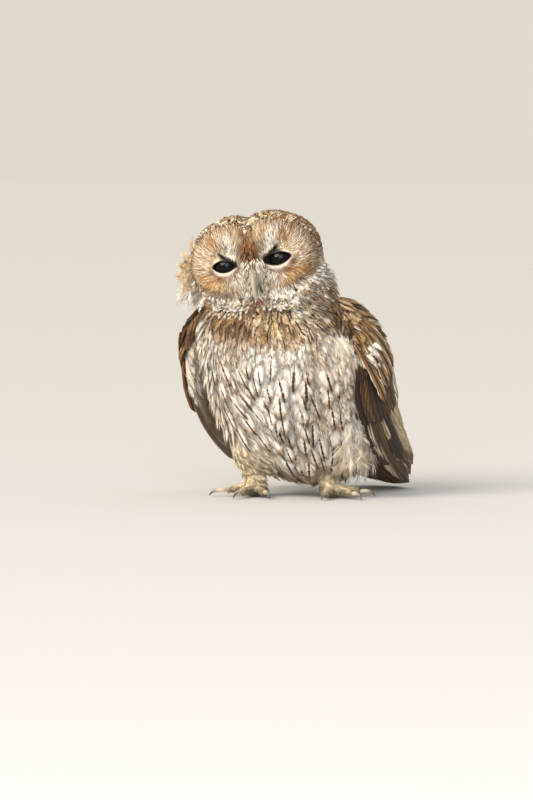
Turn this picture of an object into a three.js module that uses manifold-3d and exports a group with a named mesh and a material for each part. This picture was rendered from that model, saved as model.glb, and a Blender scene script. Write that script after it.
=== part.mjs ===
// A life-size tawny owl, Strix aluco, standing on level ground with its wings loosely hung.
// Millimetres, +Z up. The bird's body faces -Y and its left side is +X. The ground is the XY plane,
// and the exported group is centred over the middle of the bird's own box.

import * as THREE from "three";
import { mergeVertices } from "three/addons/utils/BufferGeometryUtils.js";
import Module from "manifold-3d";

const wasm = await Module();
wasm.setup();

// Driving sizes

const gap = 0.3; // clearance between neighbouring parts

const torso = {
  low: 15.5,
  high: 232,
  halfWidth: 81,
  frontDepth: 66,
  backDepth: 59,
  fullness: 2.6,
  roundness: 0.92, // below 1, its corners fill out towards a square
  widest: 0.926,
  bend: 0.9,
  foot: new THREE.Vector2(6, 29),
  lean: new THREE.Vector2(-16, -80),
};

const neck = {
  centre: new THREE.Vector3(-6, -38, 208),
  halfWidth: 70,
  halfDepth: 52,
  halfHeight: 46,
};

// The head parts from the neck under the chin, and the neck from the torso one collar lower.
const collar = {
  chin: new THREE.Vector3(-10, -95, 187),
  normal: new THREE.Vector3(0, -0.2, 1).normalize(),
  height: 24,
};

const head = {
  centre: new THREE.Vector3(-12, -56, 239),
  halfWidth: 65,
  halfDepth: 53,
  halfHeight: 47,
  fullness: 2.4,
  yaw: 17,
  roll: -8.8,
};

const face = {
  depth: 43, // how far the disc's plane lies in front of the head's centre
  discX: 29,
  discZ: -3,
  discWidth: 27,
  discHeight: 30,
  hollow: 6,
  ridge: 8,
  ridgeWidth: 10,
  ridgeZ: -8,
  ridgeReach: 26,
  groove: 4,
  grooveWidth: 9,
};

const eye = {
  radius: 14.5,
  x: 27,
  y: -26,
  z: -3.5,
  lid: 1.9,
  openingWidth: 12.5,
  openingAbove: 5.8,
  openingBelow: 6.8,
  openingTaper: 0.25, // how much lower the opening stands towards its corners
  tilt: 6,
};

const bill = {
  root: new THREE.Vector3(0, -37, -12),
  brow: new THREE.Vector3(0, -47, -14.5),
  bend: new THREE.Vector3(0, -53, -26),
  tip: new THREE.Vector3(0, -50.5, -41),
  halfWidth: 4.3,
  halfHeight: 6.2,
  taper: 0.86,
  taperPower: 2.2,
  nostrilRadius: 1.1,
  nostrilX: 4.2,
  nostrilY: -47,
  nostrilZ: -12,
};

const lowerBillShape = {
  path: [
    [0, -36, -25],
    [0, -45.5, -29.5],
    [0, -49, -36],
  ],
  halfWidth: 3.6,
  halfHeight: 3.4,
  taperWidth: 0.6,
  taperHeight: 0.7,
};

const leg = { top: 74, bottom: 15, rootRadius: 29, ankleRadius: 11.5, inward: 6, forward: 10 };

const foot = {
  padRadius: 13,
  toeLength: 36,
  toeRadius: 6.4,
  toeHeight: 5.4,
  padHeight: 22,
  clawLength: 19,
  clawRadius: 3.3,
};

const toeLengths = { inner: 0.92, middle: 1, outer: 0.86, hind: 0.66 }; // shares of toeLength

// Where each foot stands, and the heading of each toe in degrees from straight ahead, towards the left.
const feet = {
  left: { x: 39, y: 9, toes: { inner: 12, middle: 62, outer: 118, hind: 222 } },
  right: { x: -39, y: -9, toes: { inner: 46, middle: 2, outer: -58, hind: 196 } },
};

// Each wing's leading and trailing edges, from the shoulder to the tip.
const wingEdges = {
  left: {
    leading: [
      [58, -48, 200],
      [75, -40, 168],
      [81, -36, 132],
      [83, -32, 97],
      [86, -10, 66],
      [88, 28, 38],
      [82, 104, 7],
    ],
    trailing: [
      [54, 10, 199],
      [76, 24, 176],
      [86, 34, 147],
      [90, 42, 97],
      [93, 58, 62],
      [93, 84, 35],
      [86, 114, 9],
    ],
  },
  right: {
    leading: [
      [-66, -64, 196],
      [-90, -54, 171],
      [-98, -43, 142],
      [-97, -38, 108],
      [-90, -14, 70],
      [-84, 20, 42],
      [-72, 104, 7],
    ],
    trailing: [
      [-50, 2, 200],
      [-78, 12, 168],
      [-88, 26, 135],
      [-90, 40, 98],
      [-89, 60, 66],
      [-85, 84, 38],
      [-75, 110, 9],
    ],
  },
};

const wing = { camber: 9, outer: 3.5, inner: 5, shoulder: 22, coreEnd: 0.66 };

// Tiers of wing vanes. Each runs from its root to its tip, given as [along, back] on the wing for the
// first and the last vane of the tier. rise is the height of the roots and the tips over the wing.
const tiers = [
  {
    name: "primaries",
    count: 7,
    first: { root: [0.5, 0.16], tip: [0.86, 0.02] },
    last: { root: [0.46, 0.5], tip: [0.93, 0.74] },
    reach: 0.1,
    rise: [-0.5, 0.2],
    halfWidth: 8.5,
  },
  {
    name: "secondaries",
    count: 7,
    first: { root: [0.44, 0.4], tip: [0.8, 0.62] },
    last: { root: [0.36, 0.86], tip: [0.74, 1.02] },
    reach: 0.02,
    rise: [0.5, 2.6],
    halfWidth: 9,
  },
  {
    name: "greater_coverts",
    count: 7,
    first: { root: [0.37, 0.1], tip: [0.6, 0.08] },
    last: { root: [0.3, 0.84], tip: [0.54, 0.96] },
    reach: 0.015,
    rise: [1.5, 4.6],
    halfWidth: 9.5,
  },
  {
    name: "median_coverts",
    count: 6,
    first: { root: [0.22, 0.1], tip: [0.42, 0.06] },
    last: { root: [0.17, 0.82], tip: [0.36, 0.94] },
    reach: 0.015,
    rise: [2, 6],
    halfWidth: 9.5,
  },
  {
    name: "lesser_coverts",
    count: 5,
    first: { root: [0.07, 0.14], tip: [0.26, 0.08] },
    last: { root: [0.05, 0.8], tip: [0.22, 0.9] },
    reach: 0.01,
    rise: [2, 6.6],
    halfWidth: 9.5,
  },
];

const lockShape = { rows: [0, 0.45, 0.8, 1], bow: 0.1, thickness: 1.1, tipThickness: 0.5 };

const vaneShape = { thickness: 0.8, tipThickness: 0.45, tilt: 0.2, rows: [0, 0.38, 0.72, 0.92, 1] };

const tail = {
  path: [
    [4, 34, 78],
    [15, 84, 45],
    [29, 128, 17],
    [43, 168, 1.2],
  ],
  rootHalfWidth: 27,
  coreHalfWidth: 21,
  rootHalfDepth: 17,
  coreHalfDepth: 3.5,
  coreEnd: 0.62,
  pairs: 6,
  spacing: 4.4,
  fan: 0.34,
  halfWidth: 11.5,
  stepBack: 2.6,
  tilt: 0.27,
  vaneStart: 0.12,
  length: 165,
  topLift: 2.4,
};

// Flat tapered locks of feathers on the head, round each facial disc and in the ruffled tuft.
const ruff = {
  count: 12,
  from: -132,
  to: 84,
  discWidth: 33,
  discHeight: 38,
  centreX: 27,
  centreZ: -1,
  length: 21,
  sweep: 15, // how far back each tip is drawn before it is laid on the head
  halfWidth: 7,
  sink: 4,
  lift: 1.6,
};

const tuft = { count: 7, x: -57, y: -14, z: 8, spreadZ: 44, length: 24, halfWidth: 6, sink: 8 };

// Helpers

const radians = THREE.MathUtils.degToRad;
const { lerp, clamp, smoothstep } = THREE.MathUtils;

function signedPower(value, power) {
  return Math.sign(value) * Math.abs(value) ** power;
}

function bump(distance, width) {
  return Math.exp(-((distance / width) ** 2));
}

function curveThrough(points) {
  return new THREE.CatmullRomCurve3(points.map((p) => new THREE.Vector3(...p)));
}

// A closed geometry as a manifold-3d solid with its faces pointing out.
function solidOf(geometry) {
  const bare = geometry.clone();
  bare.deleteAttribute("normal");
  bare.deleteAttribute("uv");
  const merged = mergeVertices(bare, 1e-4);
  const vertProperties = new Float32Array(merged.attributes.position.array);
  const build = (corners) =>
    new wasm.Manifold(
      new wasm.Mesh({ numProp: 3, vertProperties, triVerts: new Uint32Array(corners) }),
    );
  const corners = Array.from(merged.index.array);
  const solid = build(corners);
  return solid.volume() < 0 ? build(corners.reverse()) : solid;
}

function geometryOf(solid) {
  const { vertProperties, triVerts } = solid.getMesh();
  const geometry = new THREE.BufferGeometry();
  geometry.setAttribute("position", new THREE.BufferAttribute(new Float32Array(vertProperties), 3));
  geometry.setIndex(new THREE.BufferAttribute(new Uint32Array(triVerts), 1));
  return geometry;
}

// The largest closed body of a solid.
function largest(solid) {
  return solid.decompose().reduce((a, b) => (b.volume() > a.volume() ? b : a));
}

// A rounded closed form: at(along, turn) gives its point, with along from pole 0 to pole 1.
function roundForm(sides, rings, at, matrix = new THREE.Matrix4()) {
  const geometry = new THREE.SphereGeometry(1, sides, rings);
  const { position } = geometry.attributes;
  for (let k = 0; k < position.count; k += 1) {
    const ring = Math.floor(k / (sides + 1));
    const side = (k % (sides + 1)) % sides;
    const isPole = ring === 0 || ring === rings;
    const point = at(ring / rings, isPole ? 0 : (side / sides) * 2 * Math.PI);
    position.setXYZ(k, point.x, point.y, point.z);
  }
  return solidOf(geometry.applyMatrix4(matrix));
}

function ball(radius, centre, matrix, sides = 16, rings = 12) {
  const geometry = new THREE.SphereGeometry(radius, sides, rings);
  geometry.translate(centre.x, centre.y, centre.z);
  return solidOf(geometry.applyMatrix4(matrix));
}

// A tapered form along a curve. halfSizes(along) gives [across, deep], where across lies along side.
function limb(curve, side, halfSizes, sides, rings, matrix) {
  return roundForm(
    sides,
    rings,
    (t, turn) => {
      const along = (1 - Math.cos(Math.PI * t)) / 2;
      const point = curve.getPoint(along);
      const ahead = curve.getTangent(clamp(along, 0.001, 0.999));
      const deep = new THREE.Vector3().crossVectors(ahead, side).normalize();
      const across = new THREE.Vector3().crossVectors(deep, ahead);
      const [halfAcross, halfDeep] = halfSizes(along);
      const round = Math.sin(Math.PI * t) ** 0.6;
      return point
        .addScaledVector(across, halfAcross * round * Math.cos(turn))
        .addScaledVector(deep, halfDeep * round * Math.sin(turn));
    },
    matrix,
  );
}

// A large block whose lower face lies in the plane through point with that normal.
function blockAbove(point, normal) {
  const size = 900;
  const geometry = new THREE.BoxGeometry(size, size, size);
  geometry.translate(0, 0, size / 2);
  const turn = new THREE.Quaternion().setFromUnitVectors(new THREE.Vector3(0, 0, 1), normal);
  geometry.applyQuaternion(turn);
  geometry.translate(point.x, point.y, point.z);
  return solidOf(geometry);
}

// A flat tapered vane as two sheets split alike and a rim. at(along, across, face) gives its points,
// with along from 0 to 1, across from -1 to 1 and face 1 above and -1 below.
function vane(stations, columns, at) {
  const rows = stations.length - 1;
  const plane = new THREE.PlaneGeometry(2, 1, columns, rows);
  const { position } = plane.attributes;
  const points = [];
  for (const side of [1, -1]) {
    for (let k = 0; k < position.count; k += 1) {
      const row = Math.floor(k / (columns + 1));
      points.push(...at(stations[row], position.getX(k), side).toArray());
    }
  }
  const upper = Array.from(plane.index.array);
  const lower = upper.map((corner) => corner + position.count).reverse();
  const border = [];
  for (let k = 0; k < columns; k += 1) border.push(k);
  for (let k = 0; k < rows; k += 1) border.push(columns + k * (columns + 1));
  for (let k = columns; k > 0; k -= 1) border.push(rows * (columns + 1) + k);
  for (let k = rows; k > 0; k -= 1) border.push(k * (columns + 1));
  const rim = border.flatMap((a, k) => {
    const b = border[(k + 1) % border.length];
    return [a, b, b + position.count, a, b + position.count, a + position.count];
  });
  const geometry = new THREE.BufferGeometry();
  geometry.setAttribute("position", new THREE.BufferAttribute(new Float32Array(points), 3));
  geometry.setIndex([...upper, ...lower, ...rim]);
  return solidOf(geometry);
}

// A feather's half width along its length, narrow at the quill and rounded at the tip.
function featherWidth(along) {
  return 0.35 + 0.65 * Math.sin(Math.min(1, along * 1.9) * 0.5 * Math.PI) - 0.78 * along ** 7;
}

function vaneThickness(along) {
  return lerp(vaneShape.thickness, vaneShape.tipThickness, along ** 3);
}

// Repeatable scatter from -1 to 1.
let seed = 11;
function scatter() {
  seed = (seed * 16807) % 2147483647;
  return (seed / 2147483647) * 2 - 1;
}

const ground = blockAbove(new THREE.Vector3(0, 0, 0), new THREE.Vector3(0, 0, -1));

// Body: torso, neck and head forms, each grown by an allowance where a neighbour is cut to fit

function torsoForm(grow) {
  return roundForm(28, 18, (t, turn) => {
    const rise = (1 - Math.cos(Math.PI * t)) / 2;
    const skewed = 2 * rise ** torso.widest - 1;
    const girth = Math.max(0, 1 - Math.abs(skewed) ** torso.fullness) ** (1 / torso.fullness);
    const x = signedPower(Math.cos(turn), torso.roundness) * (torso.halfWidth * girth + grow);
    const depth = Math.sin(turn) < 0 ? torso.frontDepth : torso.backDepth;
    const y = signedPower(Math.sin(turn), torso.roundness) * (depth * girth + grow);
    const bend = rise ** torso.bend;
    const z = lerp(torso.low - grow, torso.high + grow, rise);
    const ends = t === 0 || t === 1 ? 0 : 1;
    return new THREE.Vector3(
      torso.foot.x + torso.lean.x * rise + x * ends,
      torso.foot.y + torso.lean.y * bend + y * ends,
      z,
    );
  });
}

function neckForm(grow) {
  return roundForm(24, 10, (t, turn) => {
    const round = Math.sin(Math.PI * t);
    return new THREE.Vector3(
      neck.centre.x + (neck.halfWidth + grow) * round * Math.cos(turn),
      neck.centre.y + (neck.halfDepth + grow) * round * Math.sin(turn),
      neck.centre.z - (neck.halfHeight + grow) * Math.cos(Math.PI * t),
    );
  });
}

const headMatrix = new THREE.Matrix4()
  .makeTranslation(head.centre)
  .multiply(new THREE.Matrix4().makeRotationZ(radians(head.yaw)))
  .multiply(new THREE.Matrix4().makeRotationY(radians(head.roll)));

// A point of the head in its own frame, which faces -Y. away is the angle from straight ahead.
function headPoint(away, turn, grow = 0) {
  const direction = new THREE.Vector3(
    Math.sin(away) * Math.cos(turn),
    -Math.cos(away),
    Math.sin(away) * Math.sin(turn),
  );
  const n = head.fullness;
  const reach =
    (Math.abs(direction.x / head.halfWidth) ** n +
      Math.abs(direction.y / head.halfDepth) ** n +
      Math.abs(direction.z / head.halfHeight) ** n) **
    (-1 / n);
  const point = direction.clone().multiplyScalar(reach + grow);
  const front = smoothstep(-point.y, 12, 40);
  const hollows = [-1, 1].map((side) => {
    const dx = (point.x - side * face.discX) / face.discWidth;
    const dz = (point.z - face.discZ) / face.discHeight;
    return Math.exp(-((dx * dx + dz * dz) ** 1.5));
  });
  const flat = Math.max(point.y, -(face.depth + grow));
  const ridge = face.ridge * bump(point.x, face.ridgeWidth) * bump(point.z - face.ridgeZ, face.ridgeReach);
  point.y = lerp(point.y, flat + face.hollow * (hollows[0] + hollows[1]) - ridge, front);
  const crown = smoothstep(point.z, 20, 44) * bump(point.x, face.grooveWidth);
  point.z -= face.groove * crown;
  return point;
}

function headForm(grow) {
  return roundForm(30, 22, (t, turn) => headPoint(Math.PI * t, turn, grow), headMatrix);
}

function bodyForm(grow) {
  return headForm(grow).add(neckForm(grow)).add(torsoForm(grow));
}

const body = bodyForm(0);
const grownBody = bodyForm(gap);

function cutAbove(lowering) {
  const point = collar.chin.clone().addScaledVector(collar.normal, -lowering);
  return blockAbove(point, collar.normal);
}

const aboveChin = cutAbove(-gap / 2);
const belowChin = cutAbove(gap / 2);
const aboveCollar = cutAbove(collar.height - gap / 2);
const belowCollar = cutAbove(collar.height + gap / 2);

const neckSolid = body.intersect(aboveCollar).subtract(belowChin);
const headBlank = body.intersect(aboveChin);

// Eyes and lids

function eyeMatrix(side) {
  const turn = new THREE.Matrix4().makeRotationY(radians(-side * eye.tilt));
  return headMatrix
    .clone()
    .multiply(new THREE.Matrix4().makeTranslation(side * eye.x, eye.y, eye.z))
    .multiply(turn);
}

function eyeBall(side, grow, sides = 16, rings = 12) {
  return ball(eye.radius + grow, new THREE.Vector3(), eyeMatrix(side), sides, rings);
}

// The almond opening between the lids, as a prism that runs out along the line of sight.
function lidOpening(side) {
  const outline = new THREE.Shape();
  const steps = 16;
  for (let k = 0; k < steps; k += 1) {
    const turn = (k / steps) * 2 * Math.PI;
    const half = Math.sin(turn) > 0 ? eye.openingAbove : eye.openingBelow;
    const x = eye.openingWidth * Math.cos(turn);
    const y = half * Math.sin(turn) * (1 - eye.openingTaper * Math.cos(turn) ** 2);
    if (k === 0) outline.moveTo(x, y);
    else outline.lineTo(x, y);
  }
  outline.closePath();
  const depth = 2 * eye.radius;
  const geometry = new THREE.ExtrudeGeometry(outline, { depth, bevelEnabled: false });
  geometry.rotateX(Math.PI / 2);
  return solidOf(geometry.applyMatrix4(eyeMatrix(side)));
}

function withEyes(solid) {
  return [-1, 1].reduce(
    (made, side) =>
      made
        .add(eyeBall(side, eye.lid))
        .subtract(eyeBall(side, gap))
        .subtract(lidOpening(side)),
    solid,
  );
}

// Bill

function upperBill(grow) {
  const curve = new THREE.CatmullRomCurve3([bill.root, bill.brow, bill.bend, bill.tip]);
  const taper = (t) => 1 - bill.taper * t ** bill.taperPower;
  return limb(
    curve,
    new THREE.Vector3(1, 0, 0),
    (t) => [bill.halfWidth * taper(t) + grow, bill.halfHeight * taper(t) + grow],
    10,
    10,
    headMatrix,
  );
}

function lowerBill(grow) {
  const { halfWidth, halfHeight, taperWidth, taperHeight } = lowerBillShape;
  return limb(
    curveThrough(lowerBillShape.path),
    new THREE.Vector3(1, 0, 0),
    (t) => [halfWidth * (1 - taperWidth * t) + grow, halfHeight * (1 - taperHeight * t) + grow],
    10,
    8,
    headMatrix,
  );
}

function nostrils() {
  return [-1, 1].map((side) =>
    ball(
      bill.nostrilRadius,
      new THREE.Vector3(side * bill.nostrilX, bill.nostrilY, bill.nostrilZ),
      headMatrix,
      8,
      6,
    ),
  );
}

// One lock on the head, from a root under the surface out to its tip. Both lie in the head's frame.
function headLock(root, tip, out, halfWidth) {
  const ahead = tip.clone().sub(root).normalize();
  const side = new THREE.Vector3().crossVectors(ahead, out).normalize();
  const up = new THREE.Vector3().crossVectors(side, ahead);
  return vane(lockShape.rows, 1, (along, across, face) => {
    const bow = lockShape.bow * root.distanceTo(tip) * Math.sin(Math.PI * along);
    const thickness = lerp(lockShape.thickness, lockShape.tipThickness, along);
    const width = halfWidth * (1 - 0.35 * (1 - along) - 0.88 * along ** 3) * across;
    const point = root.clone().lerp(tip, along).addScaledVector(side, width);
    point.addScaledVector(up, bow + 0.5 * face * thickness - 0.08 * Math.abs(width));
    return point.applyMatrix4(headMatrix);
  });
}

// The head's surface where a ray from its centre leaves it.
function headSurface(x, y, z, depth) {
  const direction = new THREE.Vector3(x, y, z).normalize();
  const away = Math.acos(clamp(-direction.y, -1, 1));
  return headPoint(away, Math.atan2(direction.z, direction.x), -depth);
}

function ruffLocks(side) {
  const made = [];
  for (let k = 0; k < ruff.count; k += 1) {
    const turn = radians(lerp(ruff.from, ruff.to, k / (ruff.count - 1)));
    const x = side * (ruff.centreX + ruff.discWidth * Math.cos(turn));
    const z = ruff.centreZ + ruff.discHeight * Math.sin(turn);
    const root = headSurface(x, -38, z, ruff.sink);
    const outward = new THREE.Vector3(x - side * 20, 0, z - ruff.centreZ).normalize();
    const length = ruff.length * (1 + 0.12 * scatter());
    const reach = root.clone().addScaledVector(outward, length).add(new THREE.Vector3(0, ruff.sweep, 0));
    const rim = headSurface(reach.x, reach.y, reach.z, -ruff.lift * (1 + 0.4 * scatter()));
    const out = new THREE.Vector3(0, -1, 0).addScaledVector(outward, 0.5).normalize();
    made.push(headLock(root, rim, out, ruff.halfWidth));
  }
  return made;
}

// The ruffled feathers that stand off the right side of the head.
function tuftLocks() {
  const made = [];
  for (let k = 0; k < tuft.count; k += 1) {
    const z = tuft.z + (k / (tuft.count - 1) - 0.5) * tuft.spreadZ;
    const root = headSurface(tuft.x, tuft.y + 5 * scatter(), z, tuft.sink);
    const flare = new THREE.Vector3(-1, 0.42 + 0.2 * scatter(), 0.006 * (z - tuft.z) - 0.12);
    const tip = root.clone().addScaledVector(flare, tuft.length * (1 + 0.22 * scatter()));
    made.push(headLock(root, tip, new THREE.Vector3(-0.4, -1, 0.1).normalize(), tuft.halfWidth));
  }
  return made;
}

function lockedHead() {
  const locks = [...ruffLocks(-1), ...ruffLocks(1), ...tuftLocks()];
  const joined = wasm.Manifold.union([withEyes(headBlank), ...locks]);
  return joined.intersect(aboveChin).subtract(upperBill(gap)).subtract(lowerBill(gap));
}

const upperBillSolid = nostrils().reduce((made, hole) => made.subtract(hole), upperBill(0));
const lowerBillSolid = lowerBill(0).subtract(upperBill(gap));

// Wings

const edgeCurves = {
  left: Object.values(wingEdges.left).map(curveThrough),
  right: Object.values(wingEdges.right).map(curveThrough),
};

// A point of a wing: along from shoulder to tip, back from leading to trailing edge, height outwards.
function wingPoint(name, along, back, height) {
  const t = clamp(along, 0, 1);
  const [leading, trailing] = edgeCurves[name];
  const front = leading.getPoint(t);
  const chord = trailing.getPoint(t).sub(front);
  const ahead = leading.getTangent(t).add(trailing.getTangent(t));
  const out = new THREE.Vector3().crossVectors(ahead, chord).normalize();
  if (out.x * front.x < 0) out.negate();
  const fullness = Math.sin(Math.PI * clamp(0.12 + 0.88 * t, 0, 1));
  const camber = wing.camber * 4 * back * (1 - back) * fullness;
  return front.addScaledVector(chord, back).addScaledVector(out, camber + height);
}

// The fleshy and downy part of a wing, from the shoulder to the roots of the flight feathers.
function wingCore(name) {
  return roundForm(12, 9, (t, turn) => {
    const rise = (1 - Math.cos(Math.PI * t)) / 2;
    const along = rise * wing.coreEnd;
    const round = Math.sin(Math.PI * t) ** 0.5;
    const back = 0.5 + 0.47 * round * Math.cos(turn);
    const thin = 1 - 0.7 * rise;
    const inside = wing.inner + wing.shoulder * bump(along - 0.25, 0.26);
    const depth = Math.sin(turn) > 0 ? wing.outer : inside;
    return wingPoint(name, along, back, depth * thin * round * Math.sin(turn));
  });
}

function wingVane(name, root, tip, rise, halfWidth) {
  const spot = (along) =>
    wingPoint(
      name,
      lerp(root[0], tip[0], along),
      lerp(root[1], tip[1], along),
      lerp(rise[0], rise[1], along),
    );
  return vane(vaneShape.rows, 1, (along, across, face) => {
    const step = 0.02;
    const point = spot(along);
    const ahead = spot(along + step).sub(spot(along - step)).normalize();
    const beside = wingPoint(name, lerp(root[0], tip[0], along), lerp(root[1], tip[1], along) + 0.05, 0);
    const middle = wingPoint(name, lerp(root[0], tip[0], along), lerp(root[1], tip[1], along), 0);
    const chord = beside.sub(middle);
    const side = chord.addScaledVector(ahead, -chord.dot(ahead)).normalize();
    const out = new THREE.Vector3().crossVectors(ahead, side).normalize();
    if (out.x * point.x < 0) out.negate();
    const width = halfWidth * featherWidth(along) * across;
    const height = -vaneShape.tilt * width + 0.5 * face * vaneThickness(along);
    return point.addScaledVector(side, width).addScaledVector(out, height);
  });
}

function wingTier(name, tier) {
  const made = [];
  for (let k = 0; k < tier.count; k += 1) {
    const share = k / (tier.count - 1);
    const mix = (end, axis) => lerp(tier.first[end][axis], tier.last[end][axis], share);
    const bulge = tier.reach * Math.sin(Math.PI * Math.min(1, share * 1.25 + 0.1));
    const tip = [mix("tip", 0) + bulge + 0.006 * scatter(), mix("tip", 1) + 0.012 * scatter()];
    const wide = tier.halfWidth * (1 + 0.06 * scatter());
    made.push(wingVane(name, [mix("root", 0), mix("root", 1)], tip, tier.rise, wide));
  }
  return made;
}

function wingSolid(name) {
  const vanes = tiers.flatMap((tier) => wingTier(name, tier));
  const joined = wasm.Manifold.union([wingCore(name), ...vanes]);
  return largest(joined.subtract(grownBody).subtract(ground));
}

// Tail

const tailCurve = curveThrough(tail.path);

function tailCore() {
  const points = [0, 0.25, 0.5, 0.75, 1].map((t) => tailCurve.getPoint(t * tail.coreEnd));
  return limb(
    new THREE.CatmullRomCurve3(points),
    new THREE.Vector3(1, 0, 0),
    (t) => [
      lerp(tail.rootHalfWidth, tail.coreHalfWidth, t),
      lerp(tail.rootHalfDepth, tail.coreHalfDepth, smoothstep(t, 0, 0.7)),
    ],
    12,
    9,
  );
}

// One tail feather. side is -1 or 1, and rank counts out from the middle pair. The first on the left
// lies over all the others, whose inner edges stop short of the middle line.
function tailVane(side, rank) {
  const end = 1 - (rank * tail.stepBack + 1.5 * scatter()) / tail.length;
  const offset = side * (2 + tail.spacing * rank);
  return vane(vaneShape.rows, 1, (along, across, face) => {
    const t = lerp(tail.vaneStart, end, along);
    const point = tailCurve.getPoint(t);
    const ahead = tailCurve.getTangent(clamp(t, 0.001, 0.999));
    const beside = new THREE.Vector3(0, 0, 1).cross(ahead).negate().normalize();
    const up = new THREE.Vector3().crossVectors(beside, ahead).normalize();
    const spread = offset * (0.75 + tail.fan * along);
    const isTop = rank === 0 && side > 0;
    const wide = tail.halfWidth * featherWidth(along);
    const inner = isTop ? wide : Math.min(wide, Math.abs(spread) - 0.3);
    const width = side * across > 0 ? wide * across : inner * across;
    const tilt = isTop ? tail.topLift : tail.tilt * side * width;
    const height = tilt + 0.5 * face * vaneThickness(along);
    return point.addScaledVector(beside, spread + width).addScaledVector(up, height);
  });
}

function tailSolid() {
  const vanes = [];
  for (let rank = 0; rank < tail.pairs; rank += 1) {
    vanes.push(tailVane(1, rank), tailVane(-1, rank));
  }
  const joined = wasm.Manifold.union([tailCore(), ...vanes]);
  return largest(joined.subtract(grownBody).subtract(ground));
}

// Legs, feet and claws

function headed(degrees) {
  return new THREE.Vector3(Math.sin(radians(degrees)), -Math.cos(radians(degrees)), 0);
}

function legForm(place, grow) {
  const inward = Math.sign(place.x) * leg.inward;
  const curve = new THREE.LineCurve3(
    new THREE.Vector3(place.x - inward, place.y - leg.forward, leg.top),
    new THREE.Vector3(place.x, place.y, leg.bottom - 14),
  );
  const radius = (t) => grow + lerp(leg.rootRadius, leg.ankleRadius, smoothstep(t, 0.3, 0.85));
  return limb(curve, new THREE.Vector3(1, 0, 0), (t) => [radius(t), radius(t)], 14, 10);
}

function legSolid(place) {
  const floor = blockAbove(new THREE.Vector3(0, 0, leg.bottom), new THREE.Vector3(0, 0, -1));
  return largest(legForm(place, 0).subtract(floor));
}

const torsoSolid = [feet.left, feet.right].reduce(
  (made, place) => made.subtract(legForm(place, gap)),
  body.subtract(belowCollar),
);

function toeCurve(place, heading, length) {
  const ahead = headed(heading);
  const start = new THREE.Vector3(place.x, place.y, foot.toeHeight + 1.5);
  return new THREE.CatmullRomCurve3(
    [0, 0.5, 1].map((share) =>
      start
        .clone()
        .addScaledVector(ahead, length * share)
        .add(new THREE.Vector3(0, 0, 2.5 * Math.sin(Math.PI * share) - 1.2 * share)),
    ),
  );
}

function toeForm(place, heading, length) {
  const side = new THREE.Vector3(0, 0, 1).cross(headed(heading)).normalize();
  const radius = (t) => foot.toeRadius * (1 - 0.22 * t + 0.12 * Math.sin(3 * Math.PI * t));
  return limb(toeCurve(place, heading, length), side, (t) => [radius(t), radius(t)], 9, 7);
}

function clawForm(place, heading, length, grow) {
  const ahead = headed(heading);
  const side = new THREE.Vector3(0, 0, 1).cross(ahead).normalize();
  const start = toeCurve(place, heading, length).getPoint(1).addScaledVector(ahead, -3);
  const at = (forward, up) => start.clone().addScaledVector(ahead, forward).setZ(up);
  const reach = foot.clawLength;
  const curve = new THREE.CatmullRomCurve3([
    at(0, 6.2),
    at(0.4 * reach, 6.9),
    at(0.72 * reach, 4.6),
    at(0.86 * reach, 0.9),
  ]);
  const radius = (t) => foot.clawRadius * (1 - 0.85 * t) + grow;
  return limb(curve, side, (t) => [radius(t) * 0.85, radius(t)], 7, 7);
}

function footParts(place) {
  const toes = Object.entries(place.toes).map(([name, heading]) => ({
    name,
    heading,
    length: foot.toeLength * toeLengths[name],
  }));
  const pad = roundForm(12, 6, (t, turn) => {
    const round = Math.sin(Math.PI * t) ** 0.7;
    return new THREE.Vector3(
      place.x + foot.padRadius * round * Math.cos(turn),
      place.y + foot.padRadius * round * Math.sin(turn),
      lerp(-2, foot.padHeight, (1 - Math.cos(Math.PI * t)) / 2),
    );
  });
  const ceiling = blockAbove(
    new THREE.Vector3(0, 0, leg.bottom - gap),
    new THREE.Vector3(0, 0, 1),
  );
  const joined = toes.reduce(
    (made, toe) => made.add(toeForm(place, toe.heading, toe.length)),
    pad,
  );
  const trimmed = joined.subtract(ceiling).subtract(ground);
  const sole = toes.reduce(
    (made, toe) => made.subtract(clawForm(place, toe.heading, toe.length, gap)),
    trimmed,
  );
  const claws = toes.map((toe) => [
    toe.name,
    largest(clawForm(place, toe.heading, toe.length, 0).subtract(ground)),
  ]);
  return { sole: largest(sole), claws };
}

// Materials

function finish(color, roughness) {
  return new THREE.MeshStandardMaterial({ color, roughness, metalness: 0 });
}

const finishes = {
  head: finish("#c2a27c", 0.9),
  body: finish("#d9d0c2", 0.9),
  wing: finish("#8a6540", 0.85),
  tail: finish("#a58a66", 0.85),
  leg: finish("#cbb690", 0.9),
  toe: finish("#b9a283", 0.8),
  claw: finish("#3f3a38", 0.35),
  bill: finish("#b9bd97", 0.4),
  eye: finish("#0b0a0c", 0.05),
};

// Assembly

const owl = new THREE.Group();

function place(name, solid, material) {
  const mesh = new THREE.Mesh(geometryOf(solid), material);
  mesh.name = name;
  owl.add(mesh);
}

place("torso", largest(torsoSolid), finishes.body);
place("neck", largest(neckSolid), finishes.body);
place("head", largest(lockedHead()), finishes.head);
place("bill_upper", largest(upperBillSolid), finishes.bill);
place("bill_lower", largest(lowerBillSolid), finishes.bill);
place("tail", tailSolid(), finishes.tail);

for (const [name, side] of [
  ["left", 1],
  ["right", -1],
]) {
  place(`eye_${name}`, eyeBall(side, 0), finishes.eye);
  place(`wing_${name}`, wingSolid(name), finishes.wing);
  place(`leg_${name}`, legSolid(feet[name]), finishes.leg);
  const { sole, claws } = footParts(feet[name]);
  place(`foot_${name}`, sole, finishes.toe);
  for (const [toe, claw] of claws) {
    place(`claw_${name}_${toe}`, claw, finishes.claw);
  }
}

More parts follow.
